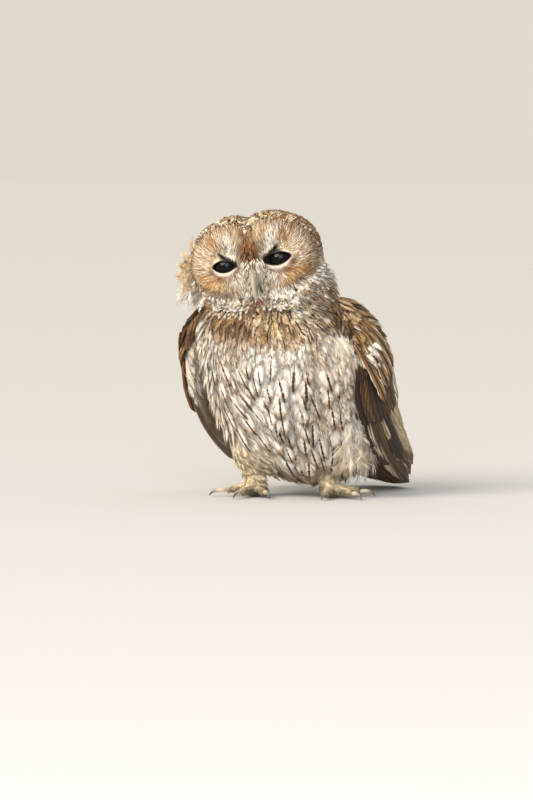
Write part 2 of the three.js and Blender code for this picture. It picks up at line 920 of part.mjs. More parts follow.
// The ground stays at height 0, and the origin moves under the middle of the bird.
const box = new THREE.Box3().setFromObject(owl);
const middle = box.getCenter(new THREE.Vector3());
owl.position.set(-middle.x, -middle.y, -box.min.z);

export default owl;
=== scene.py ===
import bpy
import math
import numpy as np
from mathutils import Matrix, Vector
from mathutils.bvhtree import BVHTree


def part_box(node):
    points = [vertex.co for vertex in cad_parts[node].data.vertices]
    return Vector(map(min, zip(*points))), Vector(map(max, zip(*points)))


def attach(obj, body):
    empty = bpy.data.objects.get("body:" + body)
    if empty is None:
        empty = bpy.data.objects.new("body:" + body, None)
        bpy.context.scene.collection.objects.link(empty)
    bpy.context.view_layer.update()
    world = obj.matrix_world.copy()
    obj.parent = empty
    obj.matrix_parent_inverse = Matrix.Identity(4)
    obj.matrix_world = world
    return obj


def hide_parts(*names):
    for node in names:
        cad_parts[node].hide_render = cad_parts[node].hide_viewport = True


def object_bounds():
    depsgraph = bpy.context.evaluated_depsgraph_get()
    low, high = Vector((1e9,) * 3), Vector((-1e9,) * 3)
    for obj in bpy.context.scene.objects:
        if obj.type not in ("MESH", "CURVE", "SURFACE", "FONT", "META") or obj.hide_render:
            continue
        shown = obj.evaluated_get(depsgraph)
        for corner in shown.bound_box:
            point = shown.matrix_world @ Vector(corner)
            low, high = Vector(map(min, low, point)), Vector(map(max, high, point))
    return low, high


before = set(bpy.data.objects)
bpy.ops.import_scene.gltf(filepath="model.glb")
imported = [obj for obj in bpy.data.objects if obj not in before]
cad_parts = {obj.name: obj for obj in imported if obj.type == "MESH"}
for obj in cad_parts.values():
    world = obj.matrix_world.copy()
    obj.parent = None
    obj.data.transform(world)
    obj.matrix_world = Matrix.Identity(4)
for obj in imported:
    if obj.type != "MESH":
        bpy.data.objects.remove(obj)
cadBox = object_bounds()
dice = np.random.default_rng(4102)
mm = 0.001

# the owl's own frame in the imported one, found from the eyes
headPose = {
    "yaw": 17.0,  # degrees to the owl's left
    "roll": -8.8,
    "eyeOffset": (0.0, -26.0, -3.5),  # mm, the middle between the eyes from the head's centre
    "centre": (-12.0, -56.0, 239.0),  # mm, the head's centre from the point on the floor below the body
}


def boxCentre(node):
    low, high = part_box(node)
    return (Vector(low) + Vector(high)) / 2


headTurn = (Matrix.Rotation(math.radians(headPose["yaw"]), 3, "Z")
            @ Matrix.Rotation(math.radians(headPose["roll"]), 3, "Y"))
eyeMiddle = (boxCentre("eye_left") + boxCentre("eye_right")) / 2
headOrigin = eyeMiddle - headTurn @ Vector(headPose["eyeOffset"]) * mm
bodyOrigin = headOrigin - Vector(headPose["centre"]) * mm
turnArray = np.array(headTurn)


def fromBody(points):
    return np.array(bodyOrigin) + np.asarray(points, float) * mm


def toBody(points):
    return (np.asarray(points) - np.array(bodyOrigin)) / mm


def fromHead(points):
    return np.array(headOrigin) + np.asarray(points, float) @ turnArray.T * mm


def toHead(points):
    return (np.asarray(points) - np.array(headOrigin)) @ turnArray / mm


def unit(vectors):
    vectors = np.asarray(vectors, float)
    return vectors / np.maximum(np.linalg.norm(vectors, axis=-1, keepdims=True), 1e-9)


def ramp(values, low, high):
    t = np.clip((np.asarray(values, float) - low) / (high - low), 0, 1)
    return t * t * (3 - 2 * t)


def hump(values, middle, width):
    return np.exp(-(((np.asarray(values, float) - middle) / width) ** 2))


def spotAt(u, v, middle, width):
    return hump(u, middle[0], width[0]) * hump(v, middle[1], width[1])


def within(values, middle, reach):
    return np.abs(values - middle) < reach


def linear(hexColour):
    srgb = [int(hexColour[k:k + 2], 16) / 255 for k in (1, 3, 5)]
    return np.array([c / 12.92 if c <= 0.04045 else ((c + 0.055) / 1.055) ** 2.4 for c in srgb])


def deselectAll():
    for thing in bpy.context.selected_objects:
        thing.select_set(False)


def onlySelect(piece):
    deselectAll()
    piece.select_set(True)
    bpy.context.view_layer.objects.active = piece


def applyModifier(piece, kind, **settings):
    modifier = piece.modifiers.new(kind.title(), kind)
    for name, value in settings.items():
        setattr(modifier, name, value)
    onlySelect(piece)
    bpy.ops.object.modifier_apply(modifier=modifier.name)


def readArray(items, label, kind=float):
    # one triple per item
    values = np.empty(len(items) * 3, kind)
    items.foreach_get(label, values)
    return values.reshape(-1, 3)


def points(piece):
    return readArray(piece.data.vertices, "co")


def setPoints(piece, co):
    piece.data.vertices.foreach_set("co", np.asarray(co, np.float32).ravel())
    piece.data.update()


def vertexNormals(piece):
    return readArray(piece.data.vertex_normals, "vector")


def smoothNoise(co, scale, seed=0):
    # soft value noise on a lattice, for many points at once; scale is the cell in metres
    cell = np.asarray(co) / scale + seed * 17.31
    base = np.floor(cell).astype(np.int64)
    part = cell - base
    part = part * part * (3 - 2 * part)
    total = np.zeros(len(base))
    for corner in range(8):
        step = np.array([corner & 1, corner >> 1 & 1, corner >> 2 & 1])
        key = (base + step) @ np.array([73856093, 19349663, 83492791])
        value = (key ^ (key >> 13)) * 1274126177 % 65521 / 65521
        weight = np.prod(np.where(step == 1, part, 1 - part), axis=1)
        total += weight * value
    return total


def addNode(tree, kind, inputs=(), out=0, **settings):
    # adds one node; inputs are numbers, colours or sockets, by place or by name; gives one output socket
    node = tree.nodes.new("ShaderNode" + kind)
    for name, value in settings.items():
        setattr(node, name, value)
    pairs = inputs.items() if isinstance(inputs, dict) else enumerate(inputs)
    for socket, value in pairs:
        if isinstance(value, bpy.types.NodeSocket):
            tree.links.new(value, node.inputs[socket])
        elif value is not None:
            node.inputs[socket].default_value = value
    return node.outputs[out]


def newMaterial(name):
    material = bpy.data.materials.new(name)
    material.use_nodes = True
    tree = material.node_tree
    return material, tree, tree.nodes["Principled BSDF"]


def setInputs(shader, values):
    for name, value in values.items():
        shader.inputs[name].default_value = value


def featherMaterial(name, roughness=0.75, sheen=0.15, barbScale=26.0, contrast=0.24, rimFrom=0.62,
                    tipFrom=0.8, fray=0.35, soft=0.0):
    # keratin barbs: matt with a soft sheen, drawn out in fine strands from the shaft to the rim; barbScale is
    # about how many lie along a feather, since real barbs are under 0.1 mm, too fine to show
    material, tree, shader = newMaterial(name)
    ground, marking, fringe, pattern = (addNode(tree, "Attribute", attribute_name=label)
                                        for label in ("ground", "marking", "fringe", "pattern"))
    fringeAmount = fringe.node.outputs["Alpha"]
    chance = pattern.node.outputs["Alpha"]
    streakWidth, barAmount, tipAmount = addNode(tree, "SeparateColor", [pattern]).node.outputs
    axes = addNode(tree, "SeparateXYZ", [addNode(tree, "UVMap", uv_map="vane")])
    along = axes.node.outputs["Y"]

    def maths(kind, *inputs):
        return addNode(tree, "Math", inputs, operation=kind)

    across = maths("MULTIPLY", maths("ABSOLUTE", maths("SUBTRACT", axes, 0.5)), 2.0)
    forward = maths("MULTIPLY_ADD", across, -0.35, along)
    barbPlace = addNode(tree, "CombineXYZ", [maths("MULTIPLY", forward, barbScale),
                                             maths("MULTIPLY", axes, 3.0), maths("MULTIPLY", chance, 90.0)])
    barbs = addNode(tree, "TexNoise", {"Vector": barbPlace, "Scale": 1.0, "Detail": 2.0})
    wander = maths("SUBTRACT", barbs, 0.5)

    def step(value, low, high):
        return addNode(tree, "MapRange", [value, low, high, 0.0, 1.0], interpolation_type="SMOOTHSTEP")

    ragged = maths("MULTIPLY_ADD", wander, fray, across)
    reach = addNode(tree, "MapRange", [along, 0.05, 0.6, 0.5, 1.0], interpolation_type="SMOOTHSTEP")
    edge = maths("MULTIPLY", streakWidth, reach)
    streakFrom, streakTo = maths("MULTIPLY", edge, 0.7), maths("MULTIPLY", edge, 1.35)
    streak = maths("SUBTRACT", 1.0, step(ragged, streakFrom, streakTo))
    streak = maths("MULTIPLY", streak, step(streakWidth, 0.0, 0.02))
    # about five bars to a feather, which run slightly back towards the rim, as on a real vane
    phase = maths("MULTIPLY_ADD", forward, 30.0, maths("MULTIPLY", chance, 6.28))
    wave = maths("MULTIPLY_ADD", wander, 1.4, maths("SINE", phase))
    bars = maths("MULTIPLY", step(wave, 0.0, 0.7), barAmount)
    far = maths("MULTIPLY_ADD", wander, 0.5, along)
    tip = maths("MULTIPLY", step(far, 0.7, 0.95), tipAmount)
    dark = maths("MAXIMUM", streak, maths("MAXIMUM", bars, tip))
    rim = maths("MAXIMUM", step(ragged, rimFrom, rimFrom + 0.28), step(far, tipFrom, tipFrom + 0.15))
    rim = maths("MULTIPLY", rim, fringeAmount)

    colour = addNode(tree, "Mix", {0: rim, 6: ground, 7: fringe}, out=2, data_type="RGBA")
    colour = addNode(tree, "Mix", {0: dark, 6: colour, 7: marking}, out=2, data_type="RGBA")
    strand = addNode(tree, "MapRange", [barbs, 0.3, 0.7, 1.0 - contrast, 1.0 + 0.5 * contrast])
    shaded = addNode(tree, "VectorMath", {0: colour, "Scale": strand}, operation="SCALE")
    tree.links.new(shaded, shader.inputs["Base Color"])
    # light passes a little way through white down
    setInputs(shader, {"Roughness": roughness, "Sheen Weight": sheen, "Sheen Roughness": 0.5,
                       "Specular IOR Level": 0.2, "Subsurface Weight": soft,
                       "Subsurface Radius": (1.0, 0.85, 0.7), "Subsurface Scale": 0.004})
    relief = addNode(tree, "Bump", {"Height": barbs, "Strength": 0.3, "Distance": 0.0003})
    tree.links.new(relief, shader.inputs["Normal"])
    return material


# a long lens near the floor, a little to the owl's left
shot = {
    "azimuth": 25.0,
    "elevation": 3.5,
    "distance": 4.2,
    "frameHeight": 0.800,  # metres seen over the frame's height at the owl
    "pixels": (533, 800),
    "standPoint": (292.0, 497.0),  # pixel where the floor point under the body shows
    "sensor": 36.0,
    "clipEnd": 60.0,
}


def addCamera():
    data = bpy.data.cameras.new("camera")
    camera = bpy.data.objects.new("camera", data)
    bpy.context.scene.collection.objects.link(camera)
    a, e = math.radians(shot["azimuth"]), math.radians(shot["elevation"])
    back = Vector((math.sin(a) * math.cos(e), -math.cos(a) * math.cos(e), math.sin(e)))
    right = Vector((math.cos(a), math.sin(a), 0))
    up = back.cross(right)
    perPixel = shot["frameHeight"] / shot["pixels"][1]
    sideways = (shot["pixels"][0] / 2 - shot["standPoint"][0]) * perPixel
    upward = (shot["standPoint"][1] - shot["pixels"][1] / 2) * perPixel
    middle = bodyOrigin + right * sideways + up * upward
    turn = Matrix((right, up, back)).transposed().to_4x4()
    camera.matrix_world = Matrix.Translation(middle + back * shot["distance"]) @ turn
    data.sensor_width = shot["sensor"]
    data.lens = shot["sensor"] * shot["distance"] / shot["frameHeight"]
    data.clip_end = shot["clipEnd"]
    bpy.context.scene.camera = camera
    return right, back


viewRight, viewBack = addCamera()


# a place is in metres from the middle: towards the camera, to its right and up; the key light is a sun, so
# its place gives only a direction
studio = {
    "middle": (0, 0, 0.15),
    "key": {"colour": "#fff0da", "power": 3.5, "angle": 34.0, "place": (1.0, -1.0, 0.95)},
    "window": {"colour": "#f6f7ff", "power": 100.0, "size": 2.3, "place": (4.2, -0.3, 1.75)},
    "world": "#e6dfd4", "worldStrength": 0.95,
    "floor": "#c3c5c8", "floorGrain": "#bfc1c4", "floorSize": 60.0,
}


def addLight(name, kind, values):
    data = bpy.data.lights.new(name, kind)
    data.energy = values["power"]
    data.color = linear(values["colour"])
    light = bpy.data.objects.new(name, data)
    bpy.context.scene.collection.objects.link(light)
    back, right, up = values["place"]
    aim = viewBack * back + viewRight * right + Vector((0, 0, up))
    light.location = Vector(studio["middle"]) + aim
    light.rotation_euler = aim.to_track_quat("Z", "Y").to_euler()
    return data


def addStudio():
    addLight("keyLight", "SUN", studio["key"]).angle = math.radians(studio["key"]["angle"])
    # a low window in front leaves the soft patch on the eyes
    addLight("windowLight", "AREA", studio["window"]).size = studio["window"]["size"]
    world = bpy.data.worlds.new("studio")
    world.use_nodes = True
    setInputs(world.node_tree.nodes["Background"],
              {"Color": (*linear(studio["world"]), 1), "Strength": studio["worldStrength"]})
    bpy.context.scene.world = world
    bpy.context.scene.view_settings.view_transform = "Standard"
    deselectAll()
    bpy.ops.mesh.primitive_plane_add(size=studio["floorSize"], location=(0, 0, 0))
    floor = bpy.context.active_object
    floor.name = "floor"
    onlySelect(floor)
    bpy.ops.object.transform_apply(location=True, rotation=True, scale=True)
    # a matt paper sweep: no highlight and hardly any mottling
    material, tree, shader = newMaterial("paperFloor")
    grain = addNode(tree, "TexNoise", {"Scale": 6.0, "Detail": 4.0})
    pulp = {0: grain, 6: (*linear(studio["floor"]), 1), 7: (*linear(studio["floorGrain"]), 1)}
    colour = addNode(tree, "Mix", pulp, out=2, data_type="RGBA")
    tree.links.new(colour, shader.inputs["Base Color"])
    setInputs(shader, {"Roughness": 0.95})
    floor.data.materials.append(material)


addStudio()
print("camera, lights and floor set")

# the torso, neck, legs and feet come from the frame, the head and throat are shaped from balls
headShape = {
    "halfWidth": 65.0, "halfDepth": 53.0, "halfHeight": 47.0, "fullness": 2.4,
    "faceDepth": 43.0, "discX": 28.0, "discZ": -3.0, "discWidth": 27.0, "discHeight": 30.0,
    "front": (12, 40), "hollow": 7.0, "ridge": 8.0, "ridgeWidth": 10.0, "ridgeZ": -8, "ridgeTall": 26,
    "groove": 6.0, "grooveWidth": 8.0, "grooveX": -3.0, "grooveRise": (20, 44),
}
# the feathered discs are wider than the hollows under them; above and below are half heights
discCoat = {"x": 25, "z": -3, "halfWidth": 36, "above": 37, "below": 28}
throat = {"centre": (-6.0, -38.0, 206.0), "half": (70.0, 52.0, 46.0)}
eyeShape = {"x": 27.0, "y": -26.0, "z": -3.5, "radius": 14.5}


def headSurface(direction):
    # points of the head's outer surface, in its own frame in mm, along unit directions
    h = headShape
    n = h["fullness"]
    reach = ((np.abs(direction[:, 0]) / h["halfWidth"]) ** n
             + (np.abs(direction[:, 1]) / h["halfDepth"]) ** n
             + (np.abs(direction[:, 2]) / h["halfHeight"]) ** n) ** (-1 / n)
    p = direction * reach[:, None]
    front = ramp(-p[:, 1], *h["front"])
    hollows = np.zeros(len(p))
    for side in (-1, 1):
        dx = (p[:, 0] - side * h["discX"]) / h["discWidth"]
        dz = (p[:, 2] - h["discZ"]) / h["discHeight"]
        hollows += np.exp(-((dx * dx + dz * dz) ** 1.5))
    flat = np.maximum(p[:, 1], -h["faceDepth"])
    ridge = h["ridge"] * spotAt(p[:, 0], p[:, 2], (0, h["ridgeZ"]), (h["ridgeWidth"], h["ridgeTall"]))
    p[:, 1] += (flat + h["hollow"] * hollows - ridge - p[:, 1]) * front
    groove = h["groove"] * ramp(p[:, 2], *h["grooveRise"])
    p[:, 2] -= groove * hump(p[:, 0], h["grooveX"], h["grooveWidth"])
    return p


def copyNode(node):
    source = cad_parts[node]
    piece = bpy.data.objects.new("copy_" + node, source.data.copy())
    bpy.context.scene.collection.objects.link(piece)
    piece.data.materials.clear()
    return piece


trunkAxis = {"x": (-4.0, -0.06), "y": (-8.0, -0.36)}  # mm at 100 mm up, and its lean per mm of height


def trunkTurn(b):
    # degrees about the trunk's leaning axis: 0 in front, positive to the owl's left
    axis = [trunkAxis[k][0] + trunkAxis[k][1] * (b[:, 2] - 100) for k in ("x", "y")]
    return np.degrees(np.arctan2(b[:, 0] - axis[0], -(b[:, 1] - axis[1])))


def regions(co):
    # where each point lies: mm in the body's and the head's frames, on head, discs or feet, round the trunk
    b, h = toBody(co), toHead(co)
    s = headShape
    size = sum((np.abs(h[:, k]) / s[half]) ** s["fullness"]
               for k, half in enumerate(("halfWidth", "halfDepth", "halfHeight")))
    onHead = ramp(-size, -1.30, -1.10) * ramp(h[:, 2], -43, -36)
    disc = discCoat
    tall = np.where(h[:, 2] > disc["z"], disc["above"], disc["below"])
    reach = np.minimum(*[np.hypot((h[:, 0] - side * disc["x"]) / disc["halfWidth"],
                                  (h[:, 2] - disc["z"]) / tall) for side in (-1, 1)])
    onFront = ramp(-h[:, 1], 8, 26)
    return {"body": b, "x": b[:, 0], "y": b[:, 1], "z": b[:, 2],
            "head": h, "headX": h[:, 0], "headY": h[:, 1], "headZ": h[:, 2],
            "onHead": onHead, "onFront": onFront, "reach": reach, "turn": trunkTurn(b),
            "inDisc": ramp(-reach, -1.08, -0.95) * onFront * onHead, "onFoot": ramp(-b[:, 2], -20, -12)}


# mm from the solids' surface in to the skin; the feathers lie between
coatDepth = {"disc": 1.6, "crown": 3.6, "neck": 6.5, "torso": 5.5, "foot": 1.2}


def depthAt(r):
    depth = np.full(len(r["onHead"]), coatDepth["torso"])
    depth += (coatDepth["neck"] - depth) * ramp(r["z"], 165, 185)
    depth += (coatDepth["crown"] - depth) * r["onHead"]
    depth += (coatDepth["disc"] - depth) * r["inDisc"]
    depth += (coatDepth["foot"] - depth) * r["onFoot"]
    return depth


def addBall(name, segments, rings):
    deselectAll()
    bpy.ops.mesh.primitive_uv_sphere_add(segments=segments, ring_count=rings, radius=1)
    ball = bpy.context.active_object
    ball.name = name
    return ball


def orderFaces(piece):
    # a new ball's faces come in another order on each run, and feathers are sown face by face
    faces = []
    for face in piece.data.polygons:
        corners = list(face.vertices)
        first = corners.index(min(corners))
        faces.append(corners[first:] + corners[:first])
    co = points(piece)
    piece.data.clear_geometry()
    piece.data.from_pydata(co, [], sorted(faces))


def joinTo(target, others):
    deselectAll()
    for other in others:
        other.select_set(True)
    target.select_set(True)
    bpy.context.view_layer.objects.active = target
    bpy.ops.object.join()
    return target


skinShape = {
    "nodes": ("torso", "neck", "leg_left", "leg_right", "foot_left", "foot_right"),
    "headBall": (112, 72), "collarBall": (64, 40),  # segments and rings
    "voxel": 0.0021, "smoothBefore": 4, "smoothAfter": 8,
}


def makeSkin():
    parts = [copyNode(node) for node in skinShape["nodes"]]
    ball = addBall("skin", *skinShape["headBall"])
    setPoints(ball, fromHead(headSurface(unit(points(ball)))))
    collar = addBall("collar", *skinShape["collarBall"])
    setPoints(collar, fromBody(points(collar) * throat["half"] + throat["centre"]))
    skin = joinTo(ball, parts + [collar])
    applyModifier(skin, "REMESH", mode="VOXEL", voxel_size=skinShape["voxel"], adaptivity=0.0)
    applyModifier(skin, "SMOOTH", factor=0.5, iterations=skinShape["smoothBefore"])
    co, normals = points(skin), vertexNormals(skin)
    setPoints(skin, co - normals * depthAt(regions(co))[:, None] * mm)
    applyModifier(skin, "SMOOTH", factor=0.5, iterations=skinShape["smoothAfter"])
    return skin


def treeOf(piece):
    return BVHTree.FromObject(piece, bpy.context.evaluated_depsgraph_get())


skin = makeSkin()
skinTree = treeOf(skin)
print("skin made,", len(skin.data.polygons), "faces")


# feathers are small closed shapes in their own frame: across -1..1, along 0..1, and height
def spindle(path, width, thick):
    # a tapered strand with three sides: path is a list of (across, along, height)
    co, faces = [], []
    for k, (a, v, h) in enumerate(path[:-1]):
        slim = 1 - 0.55 * k / (len(path) - 1)
        co += [(a - width * slim, v, h), (a + width * slim, v, h), (a, v, h + thick * slim)]
        if k:
            p, q = 3 * (k - 1), 3 * k
            for i in range(3):
                j = (i + 1) % 3
                faces += [(p + i, q + j, p + j), (p + i, q + i, q + j)]
    co.append(path[-1])
    tip, last = len(co) - 1, len(co) - 4
    faces += [(last, tip, last + 1), (last + 1, tip, last + 2), (last + 2, tip, last)]
    faces.append((0, 1, 2))
    return co, faces


def joinShapes(shapes):
    co, faces = [], []
    for shapeCo, shapeFaces in shapes:
        start = len(co)
        co += shapeCo
        faces += [tuple(start + i for i in face) for face in shapeFaces]
    return np.array(co, float), np.array(faces, int)


def leaf(rows, halfWidths, tipAlong, ridge=0.5):
    # a closed flat vane with a low ridge for the shaft
    co, faces = [], []
    for v, w in zip(rows, halfWidths):
        co += [(-w, v, 0), (0, v, ridge), (w, v, 0), (0, v, -0.4)]
    for k in range(len(rows) - 1):
        p, q = 4 * k, 4 * k + 4
        for i in range(4):
            j = (i + 1) % 4
            faces += [(p + i, p + j, q + j), (p + i, q + j, q + i)]
    tip, last = len(co), 4 * (len(rows) - 1)
    co.append((0, tipAlong, 0))
    faces += [(last + i, last + (i + 1) % 4, tip) for i in range(4)]
    faces += [(0, 2, 1), (0, 3, 2)]
    return co, faces


def plume(barbs, fray, width=0.12, core=0.42):
    # a soft body feather: a narrow vane, with barbs that sweep from it to a frayed rim
    shapes = [leaf([0, 0.3, 0.6], [0.12, core, 0.8 * core], 0.84, 0.3)]
    for k in range(barbs):
        f = -1 + 2 * k / (barbs - 1)
        f += dice.normal(0, 0.5 / barbs)
        start = 0.62 - 0.34 * abs(f) ** 0.8 + dice.normal(0, 0.03)
        end = 1 - 0.42 * abs(f) ** 1.7 - fray * abs(dice.normal())
        drift = dice.normal(0, 0.09)
        path = [(0.18 * f, start, 0.25),
                (0.78 * f, start + 0.55 * (end - start), 0.5 + 0.35 * dice.normal()),
                (0.98 * f + drift, end, 0.5 * dice.normal())]
        shapes.append(spindle(path, width, 0.4))
    return joinShapes(shapes)


def softVane(barbs, fray, width=0.05, core=0.95):
    # a broad soft body feather: one smooth vane with a fringe of fine barbs round its end
    halfWidths = [0.14, 0.72 * core, core, 0.84 * core, 0.5 * core]
    shapes = [leaf([0, 0.22, 0.48, 0.70, 0.86], halfWidths, 0.95, 0.3)]
    for k in range(barbs):
        q = math.radians(-112 + 224 * k / (barbs - 1)) + dice.normal(0, 0.05)
        a, v = core * math.sin(q), math.cos(q)
        far = 1.06 + fray * abs(dice.normal())
        path = [(0.6 * a, 0.5 + 0.30 * v, 0.2), (0.9 * a, 0.53 + 0.42 * v, 0.4 + 0.3 * dice.normal()),
                (far * a + dice.normal(0, 0.05), 0.57 + 0.44 * v * far, 0.6 * dice.normal())]
        shapes.append(spindle(path, width, 0.35))
    return joinShapes(shapes)


def tuftlet(strands, spread, width=0.3):
    # a pinch of strands from one root, for short feathers and down
    shapes = []
    for k in range(strands):
        f = (-1 + 2 * k / max(strands - 1, 1)) * spread + dice.normal(0, 0.08)
        end = 1 - 0.28 * f * f - 0.14 * dice.random()
        path = [(0.2 * f, 0, 0), (0.75 * f, 0.55 * end, 0.6), (f, end, 0.3 * dice.normal())]
        shapes.append(spindle(path, width, 0.7))
    return joinShapes(shapes)


def scaleTip(strands):
    # a short crown feather: a rounded vane whose rim breaks into a few points
    shapes = [leaf([0, 0.45, 0.72], [0.35, 0.85, 0.7], 0.93, 0.5)]
    for k in range(strands):
        f = -1 + 2 * k / (strands - 1)
        path = [(0.6 * f, 0.45, 0.2), (0.9 * f, 0.75, 0.4),
                (0.9 * f + dice.normal(0, 0.1), 1 - 0.2 * f * f - 0.1 * dice.random(), 0)]
        shapes.append(spindle(path, 0.26, 0.5))
    return joinShapes(shapes)


def hairShape():
    path = [(0, 0, 0), (dice.normal(0, 0.3), 0.5, 0.4), (dice.normal(0, 0.8), 1, 0)]
    return joinShapes([spindle(path, 1.0, 1.0)])


def vaneShape(columns, rows, roundness, splits):
    # a firm vane of the wing or tail, closed, its two webs parted by the shaft and nicked at the rim
    co, faces, index = [], [], {}
    nicks = [(dice.choice([-1, 1]), dice.uniform(0.35, 0.97), dice.uniform(0.1, 0.35))
             for _ in range(splits)]
    for r in range(rows + 1):
        v = r / rows
        full = 0.32 + 0.68 * math.sin(min(1, v * 2.1) * math.pi / 2)
        full *= max(0.0, 1 - (max(0, v - 0.8) / 0.2) ** roundness) ** 0.5 if v < 1 else 0
        full = max(full, 0.05)
        for c in range(columns + 1):
            a = -1 + 2 * c / columns
            cut = 1.0
            for side, at, deep in nicks:
                if a * side > 0.55 and abs(v - at) < 0.6 / rows:
                    cut = min(cut, 1 - deep * 0.5)
            across = a * full * cut
            # the webs sweep forward so that the rim of each row lies nearer the tip
            ahead = v - 0.05 * abs(a) * (1 - v) - 0.04 * a * a * v
            shaft = max(0.0, 1 - abs(a) * 5)
            index[r, c, 1] = len(co)
            co.append((across, ahead, 0.5 + 1.1 * shaft))
    for r in range(rows + 1):
        for c in range(columns + 1):
            if r in (0, rows) or c in (0, columns):
                index[r, c, 0] = index[r, c, 1]
            else:
                index[r, c, 0] = len(co)
                co.append((*co[index[r, c, 1]][:2], -0.5))
    for r in range(rows):
        for c in range(columns):
            p = [index[r, c, 1], index[r, c + 1, 1], index[r + 1, c + 1, 1], index[r + 1, c, 1]]
            q = [index[r, c, 0], index[r + 1, c, 0], index[r + 1, c + 1, 0], index[r, c + 1, 0]]
            faces += [(p[0], p[1], p[2]), (p[0], p[2], p[3]), (q[0], q[1], q[2]), (q[0], q[2], q[3])]
    return np.array(co, float), np.array(faces, int)


def shapedFeathers(shape, f, chosen):
    # every chosen feather's points: a curve from root through a bend to the tip carries the shape
    a, v, h = shape[0].T
    t = v[None, :, None]
    p0, p1, p2 = (f[name][chosen][:, None, :] for name in ("root", "bend", "tip"))
    centre = (1 - t) ** 2 * p0 + 2 * t * (1 - t) * p1 + t * t * p2
    ahead = unit(2 * (1 - t) * (p1 - p0) + 2 * t * (p2 - p1))
    up = (1 - t) * f["rootUp"][chosen][:, None, :] + t * f["tipUp"][chosen][:, None, :]
    up = unit(up - (up * ahead).sum(-1, keepdims=True) * ahead)
    side = np.cross(ahead, up)
    wide = f["halfWidth"][chosen][:, None] * a[None, :]
    rise = (f["thick"][chosen][:, None] * h[None, :] + f["tilt"][chosen][:, None] * wide
            - f["arch"][chosen][:, None] * a[None, :] ** 2 * f["halfWidth"][chosen][:, None])
    return centre + side * wide[..., None] + up * rise[..., None]


def meshFrom(name, co, faces, vaneUv, bakeUv, tints, material):
    # faces are triangles; vaneUv places a point on its own feather, bakeUv on the skin's unwrap
    mesh = bpy.data.meshes.new(name)
    mesh.vertices.add(len(co))
    mesh.vertices.foreach_set("co", co.astype(np.float32).ravel())
    mesh.loops.add(len(faces) * 3)
    mesh.loops.foreach_set("vertex_index", faces.astype(np.int32).ravel())
    mesh.polygons.add(len(faces))
    mesh.polygons.foreach_set("loop_start", np.arange(0, len(faces) * 3, 3, dtype=np.int32))
    mesh.polygons.foreach_set("use_smooth", np.ones(len(faces), bool))
    mesh.update(calc_edges=True)
    for layer, uv in (("vane", vaneUv), ("OFBake", bakeUv)):
        mesh.uv_layers.new(name=layer).data.foreach_set("uv", uv[faces.ravel()].astype(np.float32).ravel())
    for label, values in tints.items():
        attribute = mesh.attributes.new(label, "FLOAT_COLOR", "POINT")
        attribute.data.foreach_set("color", values.astype(np.float32).ravel())
    mesh.materials.append(material)
    piece = bpy.data.objects.new(name, mesh)
    bpy.context.scene.collection.objects.link(piece)
    return piece


tintNames = ("ground", "marking", "fringe", "pattern")
# the most triangles in one piece, and the side of a feather's patch in the skin's unwrap
pieceSize = {"triangles": 180000, "bakePatch": 0.003}


def growFeathers(name, shapes, f, material):
    # f holds one row per feather; shapes are dealt out by chance; a piece ends between two feathers
    count = len(f["root"])
    pick = dice.integers(0, len(shapes), count)
    total = sum(len(shapes[k][1]) for k in pick)
    pieceCount = math.ceil(total / pieceSize["triangles"])
    bands = np.array_split(np.argsort(f["root"][:, 2]), pieceCount)
    for number, band in enumerate(bands):
        made, start = [], 0
        for k, shape in enumerate(shapes):
            chosen = band[pick[band] == k]
            co = shapedFeathers(shape, f, chosen).reshape(-1, 3)
            size = len(shape[0])
            faces = shape[1][None] + (start + np.arange(len(chosen)) * size)[:, None, None]
            start += len(co)
            local = np.stack([shape[0][:, 0] * 0.5 + 0.5, shape[0][:, 1]], 1)
            spread = pieceSize["bakePatch"] * (np.clip(local, 0, 1) - 0.5)
            patch = f["bakeAt"][chosen][:, None, :] + spread[None]
            made.append([co, faces.reshape(-1, 3), np.tile(local, (len(chosen), 1)), patch.reshape(-1, 2)]
                        + [np.repeat(f[label][chosen], size, axis=0) for label in tintNames])
        co, faces, vaneUv, bakeUv, *tints = (np.concatenate(column) for column in zip(*made))
        label = name if pieceCount == 1 else f"{name}{number + 1}"
        piece = meshFrom(label, co, faces, vaneUv, bakeUv, dict(zip(tintNames, tints)), material)
        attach(piece, "root")
    print(f"{name}: {count} feathers, {total} triangles")


unwrap = {"edge": 0.02, "trunkWidth": 0.96, "trunkTall": 0.45, "trunkTop": 230, "disc": (0.26, 0.74),
          "discRadius": 0.23}


def skinUv(r):
    # an unwrap of the skin: the trunk as a cylinder, the head as a disc about its face
    u = unwrap
    around, height = r["turn"] / 360 + 0.5, np.clip(r["z"] / u["trunkTop"], 0, 1)
    trunk = np.stack([u["edge"] + u["trunkWidth"] * around, u["edge"] + u["trunkTall"] * height], 1)
    direction = unit(r["head"])
    away = np.arccos(np.clip(-direction[:, 1], -1, 1)) / math.pi * u["discRadius"]
    spin = np.arctan2(direction[:, 2], direction[:, 0])
    disc = np.stack([u["disc"][0] + away * np.cos(spin), u["disc"][1] + away * np.sin(spin)], 1)
    return np.where((r["onHead"] > 0.5)[:, None], disc, trunk)


